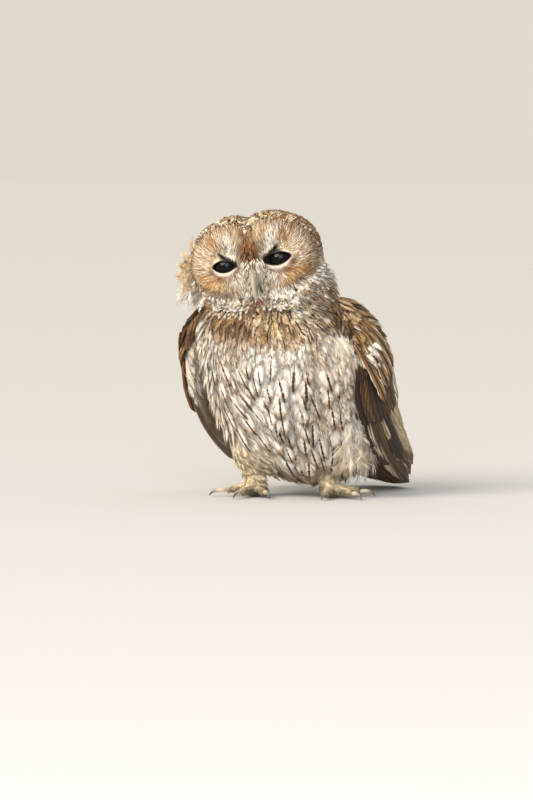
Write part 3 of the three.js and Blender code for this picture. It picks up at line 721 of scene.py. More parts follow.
def scatterOn(piece, count, spacing, keep):
    # even random roots on a piece: spacing and keep are functions of the points
    piece.data.calc_loop_triangles()
    triangles = readArray(piece.data.loop_triangles, "vertices", int)
    co, normals = points(piece), vertexNormals(piece)
    a, b, c = (co[triangles[:, k]] for k in range(3))
    area = np.linalg.norm(np.cross(b - a, c - a), axis=1)
    pick = dice.choice(len(triangles), count, p=area / area.sum())
    r = np.sqrt(dice.random(count))
    s = dice.random(count)
    weight = np.stack([1 - r, r * (1 - s), r * s], 1)
    spot = (co[triangles[pick]] * weight[..., None]).sum(1)
    normal = unit((normals[triangles[pick]] * weight[..., None]).sum(1))
    wanted = keep(spot, normal)
    spot, normal = spot[wanted], normal[wanted]
    gapWanted = spacing(spot) * mm
    cell = float(gapWanted.max())
    grid, chosen = {}, []
    keys = np.floor(spot / cell).astype(int)
    for k in range(len(spot)):
        x, y, z = keys[k]
        near = [j for dx in (-1, 0, 1) for dy in (-1, 0, 1) for dz in (-1, 0, 1)
                for j in grid.get((x + dx, y + dy, z + dz), ())]
        if near:
            apart = spot[near] - spot[k]
            if (apart * apart).sum(1).min() < gapWanted[k] ** 2:
                continue
        grid.setdefault((x, y, z), []).append(k)
        chosen.append(k)
    return spot[chosen], normal[chosen]


laying = {"bow": 0.35, "sink": 0.6, "tipLean": 0.25, "floorGap": 1.5}  # sink and floorGap in mm


def layOn(tree, root, normal, heading, length, tipHeight):
    # bends each feather over the surface, so its tip stands at a set height above it
    heading = unit(heading - (heading * normal).sum(1, keepdims=True) * normal)
    guess = root + heading * length[:, None] * mm
    tip, tipUp = np.empty_like(root), np.empty_like(root)
    for k in range(len(root)):
        spot, up, _, _ = tree.find_nearest(Vector(guess[k]))
        tip[k], tipUp[k] = spot, up
    tip = tip + tipUp * tipHeight[:, None] * mm
    tip = root + unit(tip - root) * length[:, None] * mm
    tip[:, 2] = np.maximum(tip[:, 2], cadBox[0][2] + laying["floorGap"] * mm)
    bend = (root + tip) / 2 + normal * (laying["bow"] * tipHeight)[:, None] * mm
    return {"root": root - normal * laying["sink"] * mm, "bend": bend, "tip": tip,
            "rootUp": normal, "tipUp": unit(tipUp + laying["tipLean"] * normal)}


def plainFeathers(f, halfWidth, thick, arch):
    # fills in what a feather needs beyond its curve; sizes in mm
    count = len(f["root"])
    f["halfWidth"] = np.full(count, 1.0) * halfWidth * mm
    f["thick"] = np.full(count, 1.0) * thick * mm
    f["tilt"] = np.zeros(count)
    f["arch"] = np.full(count, arch)
    for label in tintNames:
        f[label] = np.zeros((count, 4))
    mark(f, "chance", dice.random(count))


def rgba(colours):
    return np.concatenate([colours, np.ones((len(colours), 1))], 1)


def blendColours(base, layers):
    # base is one colour, layers are (colour, amount per point)
    out = np.tile(linear(base), (len(layers[0][1]), 1))
    for colour, amount in layers:
        out += (linear(colour) - out) * np.clip(amount, 0, 1)[:, None]
    return out


def paint(f, label, base, layers):
    f[label] = rgba(blendColours(base, layers))


# where the marks of a feather are kept: half width of the shaft's streak, amounts of bars and dark tip, a
# number by chance, and the amount of the fringe's colour
channels = {"streak": ("pattern", 0), "bars": ("pattern", 1), "tip": ("pattern", 2),
            "chance": ("pattern", 3), "rim": ("fringe", 3)}


def mark(f, channel, amount):
    label, k = channels[channel]
    f[label][:, k] = amount


def tintedMaterial(name, roughness, grain, depth, spread=0.15, shine=0.2):
    # one colour per vertex, broken up by a fine grain; grain is the size in mm
    material, tree, shader = newMaterial(name)
    ground = addNode(tree, "Attribute", attribute_name="ground")
    place = addNode(tree, "TexCoord", out="Object")
    noise = addNode(tree, "TexNoise", {"Vector": place, "Scale": 1000 / grain, "Detail": 3.0})
    shade = addNode(tree, "MapRange", [noise, 0.3, 0.7, 1 - spread, 1 + spread])
    colour = addNode(tree, "VectorMath", {0: ground, "Scale": shade}, operation="SCALE")
    tree.links.new(colour, shader.inputs["Base Color"])
    setInputs(shader, {"Roughness": roughness, "Specular IOR Level": shine})
    bump = addNode(tree, "Bump", {"Height": noise, "Strength": 0.4, "Distance": depth * mm})
    tree.links.new(bump, shader.inputs["Normal"])
    return material


def tintPiece(piece, colours, material):
    attribute = piece.data.attributes.new("ground", "FLOAT_COLOR", "POINT")
    attribute.data.foreach_set("color", rgba(colours).astype(np.float32).ravel())
    piece.data.materials.clear()
    piece.data.materials.append(material)


def sowRows(tree, rows, keep):
    # roots one behind the other down the coat's lie, so that the shafts run on from feather to feather
    turns = np.radians(np.arange(*rows["turns"]))
    spot = np.stack([90 * np.sin(turns), -90 * np.cos(turns), np.full(len(turns), rows["top"])], 1)
    spot[1::2, 2] -= rows["step"] / 2
    roots, normals = [], []
    while len(spot):
        near = [tree.find_nearest(Vector(place)) for place in fromBody(spot)]
        root, normal = (np.array([hit[k] for hit in near]) for k in (0, 1))
        r = dict(regions(root), up=normal)
        kept = keep(r)
        roots.append(root[kept])
        normals.append(normal[kept])
        heading = rows["heading"](r)
        heading = unit(heading - (heading * normal).sum(1, keepdims=True) * normal)
        spot = toBody(root) + heading * (rows["step"] * dice.uniform(0.85, 1.15, (len(root), 1)))
        spot = spot[spot[:, 2] > rows["bottom"]]
    return np.concatenate(roots), np.concatenate(normals)


def sizesAt(size, r):
    # a recipe gives a size as one number in mm or as a function of the place
    return size(r) if callable(size) else np.full(len(r["turn"]), float(size))


# each feather's share of the recipe's size, from and to, and the spread of its tilt
scatter = {"length": (0.82, 1.18), "tipHeight": (0.6, 1.3), "halfWidth": (0.85, 1.15), "tilt": 0.12}
tintedAt = 0.6  # the share of a feather's length where its colour is taken


def growCoat(name, recipe, base, tree):
    # sows feathers on a piece and lays them along its surface
    if "rows" in recipe:
        root, normal = sowRows(tree, recipe["rows"], recipe["keep"])
    else:
        root, normal = scatterOn(base, recipe["tries"], lambda co: sizesAt(recipe["spacing"], regions(co)),
                                 lambda co, up: recipe["keep"](dict(regions(co), up=up)))
    r = dict(regions(root), up=normal)
    count = len(root)

    def scattered(label):
        return sizesAt(recipe[label], r) * dice.uniform(*scatter[label], count)

    length, tipHeight = scattered("length"), scattered("tipHeight")
    f = layOn(tree, root, normal, recipe["heading"](r), length, tipHeight)
    if "face" in recipe:
        f["rootUp"] = f["tipUp"] = np.tile(unit(turnArray @ np.array(recipe["face"])), (count, 1))
    plainFeathers(f, scattered("halfWidth"), recipe["thick"], recipe["arch"])
    f["tilt"] = dice.normal(0, scatter["tilt"], count)
    recipe["tint"](regions(root + tintedAt * (f["tip"] - root)), f)
    f["bakeAt"] = skinUv(r)
    growFeathers(name, recipe["shapes"], f, recipe["material"])


def viewSpot(b):
    # mm to the right of the standing point and above it, seen from the front left
    a = math.radians(shot["azimuth"])
    return b[:, 0] * math.cos(a) + b[:, 1] * math.sin(a), b[:, 2]


def bodyHeading(r):
    # down and back, drawn in towards the feet from the owl's right, outward over its left shoulder
    x, z = r["x"], r["z"]
    heading = np.tile([0.04, 0.30, -0.95], (len(x), 1))
    front = ramp(-np.abs(r["turn"]), -120, -60)
    heading[:, 0] += 1.0 * ramp(-x, -20, 50) * ramp(-z, -180, -110) * front
    heading[:, 0] += 1.1 * ramp(x, 14, 50) * ramp(z, 160, 195)
    heading[:, 0] -= 0.25 * ramp(-x, 10, 60) * ramp(z, 175, 205)
    return heading + dice.normal(0, 0.10, heading.shape)


def frontAndBack(r):
    front = ramp(-np.abs(r["turn"] - 8), -122, -84)
    return front, (1 - front) * ramp(r["z"], 20, 60)


def trunkGround(r):
    # the ground colour of trunk, neck and legs, with painted shade at the breast's sides and under the belly
    x, z = r["x"], r["z"]
    co = fromBody(r["body"])
    patch, fine = smoothNoise(co, 0.015, 1), smoothNoise(co, 0.0055, 2)
    u, v = viewSpot(r["body"])
    front, back = frontAndBack(r)
    bib = ramp(z + 8 * (patch - 0.5), 150, 172)
    return blendColours("#fffdf8", [
        # painted shade: greyer towards both sides of the breast as the camera sees them, where it turns from
        # the light on the owl's left; on its right this also stands for the darker streaked plumage
        ("#ccc0ab", 0.66 * ramp(np.abs(u + 16), 14, 38)), ("#c8ad80", 0.30 * ramp(patch, 0.50, 0.75)),
        ("#c8b088", 0.35 * ramp(-u, 30, 80) * ramp(fine, 0.40, 0.7)),
        # painted shade under the lower belly: two broad darker patches where the body turns under, broken by
        # a fine mottle
        ("#8f7b55", 0.80 * spotAt(u, v, (8, 52), (30, 22)) * ramp(fine, 0.1, 0.6)),
        ("#b7a077", 0.80 * spotAt(u, v, (20, 20), (46, 22)) * ramp(fine, 0.1, 0.5)),
        ("#e6d4ac", 0.9 * spotAt(u, v, (-44, 32), (24, 22))),
        ("#fffaf0", 0.92 * spotAt(u, v, (-18, 108), (15, 46))),
        ("#d9b47a", 0.80 * bib), ("#ead498", 0.7 * spotAt(u, v, (-20, 166), (24, 12))),
        ("#c08345", 0.70 * bib * ramp(patch, 0.55, 0.70)), ("#6f4a2a", 0.85 * bib * ramp(fine, 0.62, 0.74)),
        ("#5a3d26", 0.9 * spotAt(u, v, (-60, 166), (11, 9))),
        ("#76492a", 0.8 * spotAt(u, v, (-47, 176), (20, 11)) * ramp(fine, 0.3, 0.5)),
        ("#a26c34", 0.7 * spotAt(u, v, (-38, 160), (26, 10)) * ramp(patch, 0.3, 0.5)),
        ("#f9f0dc", spotAt(u, v, (13, 178), (18, 14)) * ramp(fine, 0.2, 0.45)),
        ("#fffdf8", spotAt(u, v, (-95, 148), (12, 44)) * front),
        ("#fffaf0", 0.9 * spotAt(u, v, (40, 157), (14, 10)) * front),
        ("#b08047", 0.75 * spotAt(u, v, (-100, 186), (14, 16)) * front * ramp(fine, 0.2, 0.5)),
        ("#8d683f", back), ("#b7834a", 0.8 * back * ramp(patch, 0.45, 0.65)),
        ("#5a3f29", 0.8 * back * ramp(fine, 0.52, 0.68)), ("#f6e5c0", 0.9 * ramp(-z, -34, -14)),
        # painted shade between the legs, under the belly
        ("#8a7757", 0.85 * hump(x, -2, 20) * ramp(-z, -36, -22)),
        ("#83765e", 0.9 * ramp(-z, -15, -7)),
    ])


def tintTrunk(r, f):
    count = len(f["root"])
    ground = trunkGround(r) * dice.normal(1, 0.08, (count, 1)).clip(0.75, 1.15)
    front, back = frontAndBack(r)
    bib = ramp(r["z"], 150, 172)
    chance = dice.random(count)
    ground += (linear("#f5e9cf") - ground) * (0.8 * bib * (chance > 0.74))[:, None]
    ground += (linear("#563a24") - ground) * (0.7 * bib * (np.abs(chance - 0.5) < 0.1))[:, None]
    f["ground"] = rgba(ground)
    paint(f, "marking", "#5d4127", [("#38271a", np.maximum(back, 0.6 * bib))])
    paint(f, "fringe", "#c79b66", [("#d9bd8d", back)])
    mark(f, "rim", np.where(chance > 0.74, 0.5, 0.06) * front + 0.5 * back)
    streaked = chance < 0.05 + 0.35 * bib + 0.5 * back
    mark(f, "streak", np.where(streaked, 0.12 + 0.10 * np.maximum(bib, back), 0))
    mark(f, "bars", 0.55 * back + 0.3 * bib * (chance > 0.6))


def tintStreaked(r, f):
    # the long outer feathers of breast and belly, each with a dark shaft and a rusty frayed tip
    count = len(f["root"])
    ground = trunkGround(r) * dice.normal(1.02, 0.06, (count, 1)).clip(0.8, 1.12)
    ground += (linear("#faf6ee") - ground) * 0.5
    f["ground"] = rgba(ground)
    paint(f, "marking", "#4c3422", [("#2a1b12", dice.random(count))])
    paint(f, "fringe", "#a98157", [("#cfae84", dice.random(count))])
    mark(f, "rim", np.where(dice.random(count) < 0.62, 0.9, 0.15))
    streaked = dice.random(count) < 0.94
    mark(f, "streak", (dice.uniform(0.09, 0.15, count) + 0.05 * ramp(r["z"], 150, 180)) * streaked)
    mark(f, "bars", 0.3 * (dice.random(count) > 0.85))


def tintWisp(r, f):
    # loose barbs over the breast: mostly the ground's own white, some grey, straw or brown
    count = len(f["root"])
    speck = dice.random(count)
    ground = trunkGround(r) * dice.normal(1.05, 0.10, (count, 1)).clip(0.8, 1.2)
    for colour, low, high in (("#a8977c", 0.72, 1.0), ("#8a6a48", 0.90, 1.0), ("#fffaf0", 0.0, 0.3)):
        ground += (linear(colour) - ground) * (0.75 * ((speck >= low) & (speck < high)))[:, None]
    f["ground"] = rgba(ground)


# mm in the head's frame, the tilt in degrees; the centres are the left eye's and the right eye's
lidShape = {
    "halfWidth": 12.2, "above": 5.3, "below": 5.4, "tilt": 5.0, "edge": 13.8, "lift": 0.4, "thick": 1.3,
    "flatten": 0.22, "flattenAt": 16, "tube": 0.25, "segments": (96, 28),
    "foldStart": (13.8, 0.0), "fold": (12.8, 12.0), "rightStart": (17.5, -0.6), "rightFold": (14.0, 11.2),
    "foldWidth": 2.7, "rightSize": (0.86, 0.92), "centre": ((25.3, -1.8), (28.4, -2.2)),
}


def openingGap(h):
    # mm outside the rim of the nearer eye's opening; the right eye is a little more closed
    right = h[:, 0] < 0
    x = np.abs(h[:, 0]) - np.where(right, lidShape["centre"][1][0], lidShape["centre"][0][0])
    z = h[:, 2] - np.where(right, lidShape["centre"][1][1], lidShape["centre"][0][1])
    wide, tall = (np.where(right, size, 1.0) for size in lidShape["rightSize"])
    turn = math.radians(lidShape["tilt"])
    a = (x * math.cos(turn) + z * math.sin(turn)) / wide
    b = (z * math.cos(turn) - x * math.sin(turn)) / tall
    height = np.where(b > 0, lidShape["above"], lidShape["below"])
    height = height * (1 - lidShape["flatten"] * (a / lidShape["flattenAt"]) ** 2)
    d = np.maximum(np.hypot(a / lidShape["halfWidth"], b / height), 0.01)
    return np.hypot(a, b) * (1 - 1 / d)


def faceGround(h, speck):
    # the face by its own frame: pale about the eyes, rusty above and below, a dark stripe over the bill
    x, z = h[:, 0], h[:, 2]
    ax = np.abs(x)
    co = fromHead(h)
    fine = smoothNoise(co, 0.0036, 4)
    gap = openingGap(h)
    above = ramp(z - eyeShape["z"], -1, 2)
    brow = hump(ax, 12.5 + 0.34 * np.maximum(z + 6, 0), 6.6) * ramp(z, -18, -8) * ramp(-z, -36, -22)
    stripe = hump(x, -1.5, 8.5) ** 0.8 * ramp(z, -14, -8)
    # the dark fold of the upper lid runs from the inner corner up over the eye to a point
    right = x < 0
    startX, startZ, foldX, foldZ = (np.where(right, lidShape[other][k], lidShape[own][k])
                                    for own, other in (("foldStart", "rightStart"), ("fold", "rightFold"))
                                    for k in (0, 1))
    apartX, apartZ = ax - startX, z - startZ
    along = np.clip((apartX * foldX + apartZ * foldZ) / (foldX ** 2 + foldZ ** 2), 0, 1)
    wide = lidShape["foldWidth"] * np.where(right, 0.75, 1.0) * (1 - 0.85 * along)
    beneath = apartX * foldZ - apartZ * foldX > 0
    fold = np.hypot(apartX - foldX * along, apartZ - foldZ * along) * np.where(beneath, 0.5, 1.0) - wide
    return blendColours("#c4ab86", [
        ("#f6eee0", 0.9 * ramp(-gap, -14, -4) * (0.35 + 0.65 * ramp(-z, -2, 8))),
        ("#e8d6b4", 0.75 * ramp(-x, 36, 50) * ramp(z, -18, -6) * ramp(-z, -30, -14)),
        ("#d8c6a8", 0.75 * ramp(x, 38, 52) * ramp(z, -16, 0) * ramp(-z, -26, -12)),
        ("#a3825a", 0.45 * ramp(x, 34, 46) * ramp(fine, 0.3, 0.6)),
        ("#f7ecd6", 0.8 * spotAt(x, z, (46, 8), (9, 12))),
        ("#b48a5a", 0.5 * ramp(ax, 34, 50) * ramp(fine, 0.50, 0.65)),
        ("#ffd290", 0.97 * spotAt(-x, z, (51, -20), (17, 10))),
        ("#dfae6c", 0.95 * spotAt(x, z, (45, -22), (16, 9))),
        ("#b8854c", 0.85 * spotAt(ax, z, (31, 27), (16, 9)) * ramp(fine, 0.10, 0.45)),
        ("#7c5730", 0.75 * spotAt(x, z, (30, 29), (17, 9)) * ramp(fine, 0.25, 0.55)),
        ("#fbf5e6", 0.9 * spotAt(ax, z, (13, -19), (13, 13))),
        ("#d6bf8a", 0.6 * spotAt(ax, z, (16, -34), (12, 7))),
        ("#fffcf4", brow), ("#8c8272", 0.4 * brow * ramp(fine, 0.62, 0.76)),
        ("#94693f", 0.75 * ramp(speck, 0.88, 0.90)), ("#fffaf0", 0.8 * ramp(-speck, -0.24, -0.20)),
        ("#4a3a2c", 0.8 * spotAt(ax, z, (12, -18), (11, 14)) * ramp(speck, 0.80, 0.83)),
        ("#f6e6c4", 0.8 * hump(np.abs(x + 1.5), 10.5, 2.6) * ramp(z, -12, -6)),
        ("#cd9450", 0.7 * stripe * ramp(z, 12, 20) * ramp(fine, 0.35, 0.6)),
        ("#84491d", 0.97 * stripe * ramp(-z, -26, -14)),
        ("#371d12", 0.92 * stripe * ramp(-z, -26, -16) * ramp(fine, 0.42, 0.52)),
        ("#27130a", 0.93 * stripe * ramp(-z, -18, -4) * ramp(speck, 0.22, 0.32)),
        ("#dba764", 0.85 * stripe * ramp(speck, 0.80, 0.84)),
        ("#574439", 0.9 * hump(x, headShape["grooveX"], 8.5) * ramp(z, 18, 28)),
        ("#b5692b", 0.9 * spotAt(ax, z, (0, -37), (9, 6))),
        ("#1c120e", 0.95 * above * ramp(-gap, -6.5, -3.6) * ramp(-ax, -35, -27)),
        # painted shadow in an orange-brown ring below the lower lids
        ("#8f6b48", 0.6 * hump(gap, 7.0, 1.8) * ramp(-z, 2, 6)),
        ("#7d5632", 0.75 * spotAt(ax, z, (41.5, -6), (3.5, 6))),
        # painted shadow under each eye's outer corner
        ("#b27a45", 0.70 * spotAt(ax, z, (36, -15), (8, 3))),
        ("#e6d6c6", ramp(-gap, -4.6, -3.6) * ramp(-(z - eyeShape["z"]), -1, 2)),
        ("#0e0908", ramp(-fold, -1.2, 0.2)),
        ("#080505", ramp(-gap, -2.3, -1.3)),
    ])


def headGround(r, speck):
    # the crown's browns, the pale band at the rim of the discs and the face
    h = r["head"]
    x, y, z = h.T
    ax = np.abs(x)
    co = fromHead(h)
    patch = smoothNoise(co, 0.010, 5)
    rim = hump(r["reach"], 1.12, 0.17) * r["onFront"]
    low = ramp(-z, 8, 24)
    crown = blendColours("#9d6d38", [
        ("#e2c992", ramp(speck, 0.53, 0.55)), ("#8d4f20", ramp(speck, 0.67, 0.69)),
        ("#36200f", ramp(speck, 0.80, 0.82)), ("#a0622a", 0.6 * ramp(patch, 0.4, 0.6)),
        # the first layer darkens the owl's left of the crown: partly its browner colour, partly painted shade
        # on the side away from the key light
        ("#6d4526", 0.60 * ramp(x, 2, 22) * ramp(z, 10, 24)), ("#8a5a30", 0.35 * ramp(z, 10, 24)),
        ("#4e3b31", 0.85 * hump(x, headShape["grooveX"], 8) * ramp(z, 20, 34)),
        ("#e6dac4", 0.7 * ramp(x, 40, 56) * ramp(-z, -8, 14)), ("#8c6038", 0.6 * ramp(y, 0, 30)),
        ("#f3e3bd", 0.85 * ramp(-y, 0, 18) * ramp(-speck, -0.26, -0.24)),
    ])
    top = 1 - low
    band = blendColours("#fbedca", [
        ("#fffaec", low), ("#bd7f3c", ramp(speck, 0.44, 0.46) * top),
        ("#8e4f1f", ramp(speck, 0.62, 0.64) * top),
        ("#7a4c28", 0.7 * spotAt(x, z, (58, 2), (12, 16)) * ramp(speck, 0.2, 0.3)),
        ("#2a1a10", 0.85 * spotAt(x, z, (55, -5), (7, 14)) * ramp(speck, 0.40, 0.45)),
        ("#20130d", ramp(speck - 0.06 * low, 0.76, 0.78)), ("#d9bd88", ramp(speck, 0.93, 0.95)),
    ])
    ground = crown + (band - crown) * rim[:, None]
    ground += (faceGround(h, speck) - ground) * r["inDisc"][:, None]
    edge = 0.7 * hump(r["reach"], 0.97, 0.05) * r["onFront"] * low * ramp(ax, 10, 20)
    return ground + (linear("#7a5a36") - ground) * edge[:, None]


def tintHead(r, f):
    count = len(f["root"])
    speck = dice.random(count)
    shade = dice.normal(1, 0.15, (count, 1)).clip(0.55, 1.3) - 0.35 * (dice.random((count, 1)) > 0.90)
    f["ground"] = rgba(headGround(r, speck) * shade)
    paint(f, "marking", "#4f3421", [("#2a1b13", dice.random(count))])
    top = 1 - ramp(-r["headZ"], 8, 24) * r["onFront"]
    paint(f, "fringe", "#f2e6cb", [("#c08a50", (dice.random(count) > 0.6) * top)])
    mark(f, "rim", 0.6 * (1 - r["inDisc"]))
    mark(f, "streak", 0.3 * (dice.random(count) < 0.35) * (1 - r["inDisc"]) * top)
    mark(f, "tip", 0.9 * (dice.random(count) < 0.34 - 0.12 * top) * (1 - r["inDisc"]))


def headHeading(r):
    # the discs' hairs radiate from the eyes, the crown's feathers lie back and down
    x, z = r["headX"], r["headZ"]
    radial = np.zeros((len(x), 3))
    for side in (-1, 1):
        apart = np.stack([x - side * 24, np.zeros(len(x)), z + 5], 1)
        radial += unit(apart) / (np.linalg.norm(apart, axis=1, keepdims=True) ** 3 + 60)
    radial = unit(radial)
    middle = hump(x, 0, 8) * ramp(z, -18, -4)
    radial = unit(radial + np.array([0, 0, 2.5]) * middle[:, None])
    over = np.stack([0.5 * x / 50, np.ones(len(x)), -0.3 - 1.0 * ramp(-z, -12, 28)], 1)
    heading = unit(radial) * r["inDisc"][:, None] + over * (1 - r["inDisc"])[:, None]
    return (heading + dice.normal(0, 0.13, heading.shape)) @ turnArray.T


# down and body feathers: loose barbs, matt, and a little light passes through their rims
softFeather = featherMaterial("softFeather", contrast=0.10, rimFrom=1.3, tipFrom=0.58, soft=0.12)
# dense short feathers of head and legs: a velvety, broken surface
shortFeather = featherMaterial("shortFeather", barbScale=8.0, contrast=0.3, soft=0.25)
# hair-like barbs and bristles: thin plain strands with hardly a sheen
hair = featherMaterial("hairFeather", sheen=0.04, barbScale=3.0, contrast=0.2)
# stiff vanes with locked barbs: smoother, finely lined, a narrow pale rim
firmFeather = featherMaterial("firmFeather", roughness=0.6, sheen=0.08, barbScale=60.0, contrast=0.34,
                              rimFrom=0.72, tipFrom=0.95, fray=0.12)
# half-stiff small coverts: coarse barbs that mottle them, and a fraying rim
mottledFeather = featherMaterial("mottledFeather", barbScale=13.0, contrast=0.36, rimFrom=0.8)
# flight and shoulder feathers: stiff and smooth with a broad pale rim
flightFeather = featherMaterial("flightFeather", roughness=0.6, sheen=0.08, barbScale=60.0, contrast=0.3,
                                rimFrom=0.60, tipFrom=0.97, fray=0.08)


def nearShin(r):
    # the far leg and the belly just over it carry small feathers
    return ramp(-r["x"], 10, 24) * ramp(-r["z"], -76, -54)


def farHip(r):
    # the outer side just over the far leg, where a long feather would hang free
    return ramp(-r["x"], 36, 48) * ramp(-r["z"], -72, -54)


# a recipe says which shapes are sown, how many roots are tried, the sizes in mm, which roots are kept, and
# the lie and the tint of the feathers
trunkCoat = {
    "shapes": [plume(30, fray=0.2, width=0.05, core=0.85) for _ in range(7)],
    "material": softFeather, "tries": 60000,
    "thick": 0.35, "arch": 0.03,
    "spacing": lambda r: 7.6 - 2 * ramp(-r["z"], -50, -22) - 1.6 * nearShin(r),
    "keep": lambda r: (r["onHead"] < 0.5) & (r["z"] > 20) & (r["z"] < 164),
    "heading": bodyHeading,
    "length": lambda r: 36 - 9 * ramp(-r["z"], -50, -22) - 10 * nearShin(r) - 11 * farHip(r),
    "tipHeight": lambda r: (2.0 + 8 * ramp(-r["z"], -62, -40)) * (1 - 0.6 * nearShin(r)),
    "halfWidth": lambda r: 9.5 - 4 * ramp(-r["z"], -50, -22) - 2.6 * nearShin(r),
    "tint": tintTrunk,
}
breastCoat = {
    "shapes": [plume(34, fray=0.2, width=0.045, core=0.85) for _ in range(7)], "material": softFeather,
    "rows": {"turns": (-86, 98, 10.5), "top": 172, "bottom": 42, "step": 17.0, "heading": bodyHeading},
    "thick": 0.35, "arch": 0.04, "length": 38, "halfWidth": 9.4,
    "keep": lambda r: within(r["turn"], 5, 88) & (r["onHead"] < 0.5) & (r["z"] > 44)
    & (r["z"] < 153) & (nearShin(r) < 0.6),
    "heading": bodyHeading,
    "tipHeight": lambda r: 6.5 + 6 * ramp(-r["z"], -66, -46),
    "tint": tintStreaked,
}
wispCoat = {
    "shapes": [hairShape() for _ in range(8)], "material": hair, "tries": 60000,
    "thick": 0.3, "arch": 0.0, "spacing": 5.0, "length": 22, "tipHeight": 5.6, "halfWidth": 0.36,
    "keep": lambda r: within(r["turn"], 5, 92) & (r["onHead"] < 0.5) & (r["z"] > 40) & (r["z"] < 170),
    "heading": lambda r: bodyHeading(r) + dice.normal(0, 0.14, (len(r["turn"]), 3)),
    "tint": tintWisp,
}
collarCoat = {
    "shapes": [plume(13, fray=0.2, width=0.10, core=0.45) for _ in range(8)],
    "material": softFeather, "tries": 60000,
    "thick": 0.5, "arch": 0.08, "spacing": 4.0, "tipHeight": 6.0, "halfWidth": 4.6,
    "keep": lambda r: (r["onHead"] < 0.6) & (r["z"] > 150) & ((r["headZ"] < -40) | (r["headY"] > -12)),
    "heading": lambda r: bodyHeading(r) + dice.normal(0, 0.16, (len(r["turn"]), 3)),
    "length": lambda r: 21 - 5 * ramp(r["z"], 190, 215),
    "tint": tintTrunk,
}
ventCoat = dict(collarCoat, length=20, tipHeight=8,
                keep=lambda r: within(r["x"], -2, 32) & within(r["z"], 22, 10))
legCoat = {
    "shapes": [tuftlet(5, spread=0.9, width=0.22) for _ in range(6)],
    "material": shortFeather, "tries": 40000,
    "thick": 0.5, "arch": 0.1,
    "spacing": lambda r: 2.4 + 0.8 * ramp(r["z"], 12, 30),
    "keep": lambda r: (r["z"] < 34) | (nearShin(r) > 0.9),
    "heading": bodyHeading,
    "length": lambda r: 6.5 + 8 * ramp(r["z"], 10, 30),
    "tipHeight": lambda r: 1.6 + 1.5 * ramp(r["z"], 10, 30),
    "halfWidth": lambda r: 1.9 + 1.0 * ramp(r["z"], 10, 30),
    "tint": tintTrunk,
}
crownCoat = {
    "shapes": [scaleTip(4) for _ in range(8)], "material": shortFeather, "tries": 90000,
    "thick": 0.6, "arch": 0.25, "spacing": 3.0, "tipHeight": 4.6, "halfWidth": 3.1,
    "keep": lambda r: (r["onHead"] >= 0.5) & (r["inDisc"] < 0.5),
    "heading": headHeading,
    "length": lambda r: 9.0 + 4 * ramp(r["headY"], 10, 40),
    "tint": tintHead,
}
rimCoat = {
    "shapes": [scaleTip(3) for _ in range(8)], "material": shortFeather, "tries": 90000,
    "thick": 0.6, "arch": 0.2, "spacing": 2.3, "tipHeight": 5.6, "halfWidth": 1.8,
    "keep": lambda r: (r["onHead"] >= 0.3) & (r["onFront"] > 0.3) & within(r["reach"], 1.08, 0.12),
    "heading": headHeading,
    "length": lambda r: 8.5 + 2 * ramp(-r["headZ"], 10, 30),
    "tint": tintHead,
}


def headwards(direction, spread):
    # a heading given in the head's frame, with some scatter
    def heading(r):
        out = np.tile(np.array(direction, float), (len(r["turn"]), 1))
        out[:, 0] *= np.where(r["headX"] < 0, -1, 1)
        return (out + dice.normal(0, spread, out.shape)) @ turnArray.T
    return heading


def chinHeading(r):
    side = ramp(r["headX"], 26, 44)
    out = np.stack([0.5 * r["headX"] / 40, 0.35 + 0.3 * side, -1.0 + 0 * side], 1)
    return (out + dice.normal(0, 0.16, out.shape)) @ turnArray.T


def eyeGap(r):
    return openingGap(r["head"])


def tintChin(r, f):
    # white, with black and straw specks towards the tips, greyer on the side of the neck
    count = len(f["root"])
    speck = dice.random(count)
    side = ramp(r["headX"], 34, 50)
    paint(f, "ground", "#fffdf6", [
        ("#f0e2c0", 0.8 * ramp(speck, 0.50, 0.55)), ("#bf9460", 0.8 * ramp(speck, 0.86, 0.90)),
        ("#cfc5b4", 0.75 * side * ramp(speck, 0.3, 0.5)),
        ("#dca768", 0.85 * ramp(-r["headX"], 44, 54) * ramp(speck, 0.15, 0.3)),
        ("#b4652a", 0.97 * spotAt(r["headX"], r["headZ"], (-1, -40), (12, 6))),
        ("#b98f5c", 0.8 * side * ramp(-r["headZ"], 28, 42) * ramp(speck, 0.2, 0.4)),
    ])
    paint(f, "marking", "#2c1e17", [("#54402e", dice.random(count))])
    mark(f, "tip", 1.0 * (dice.random(count) < 0.6))
    mark(f, "streak", (0.25 + 0.1 * side) * (dice.random(count) < 0.1 + 0.3 * side))


def tintTuft(r, f):
    # the loose feathers behind the owl's right ear: cream and rusty, the low ones white
    count = len(f["root"])
    speck, low = dice.random(count), ramp(-r["headZ"], 14, 22)
    paint(f, "ground", "#e2c597", [
        ("#f5e7cc", ramp(speck, 0.3, 0.4)), ("#d6ad7a", ramp(speck, 0.80, 0.86)), ("#fdf8ee", 0.9 * low),
    ])
    paint(f, "marking", "#8a5c34", [("#5e4029", dice.random(count))])
    mark(f, "tip", 0.8 * (dice.random(count) < 0.2) * (1 - low))


def tintWhisker(r, f):
    count = len(f["root"])
    speck = dice.random(count)
    paint(f, "ground", "#fffaf0", [
        ("#f0e4c6", ramp(speck, 0.50, 0.54)), ("#c2b38c", ramp(speck, 0.78, 0.82)),
        ("#3a2c20", ramp(speck, 0.90, 0.91)),
        # painted shadow of the bill: darker bristles close beside it
        ("#4f4128", 0.8 * hump(np.abs(r["headX"]), 5.5, 2.0) * ramp(-r["headZ"], 10, 20)
         * ramp(speck, 0.25, 0.35)),
    ])


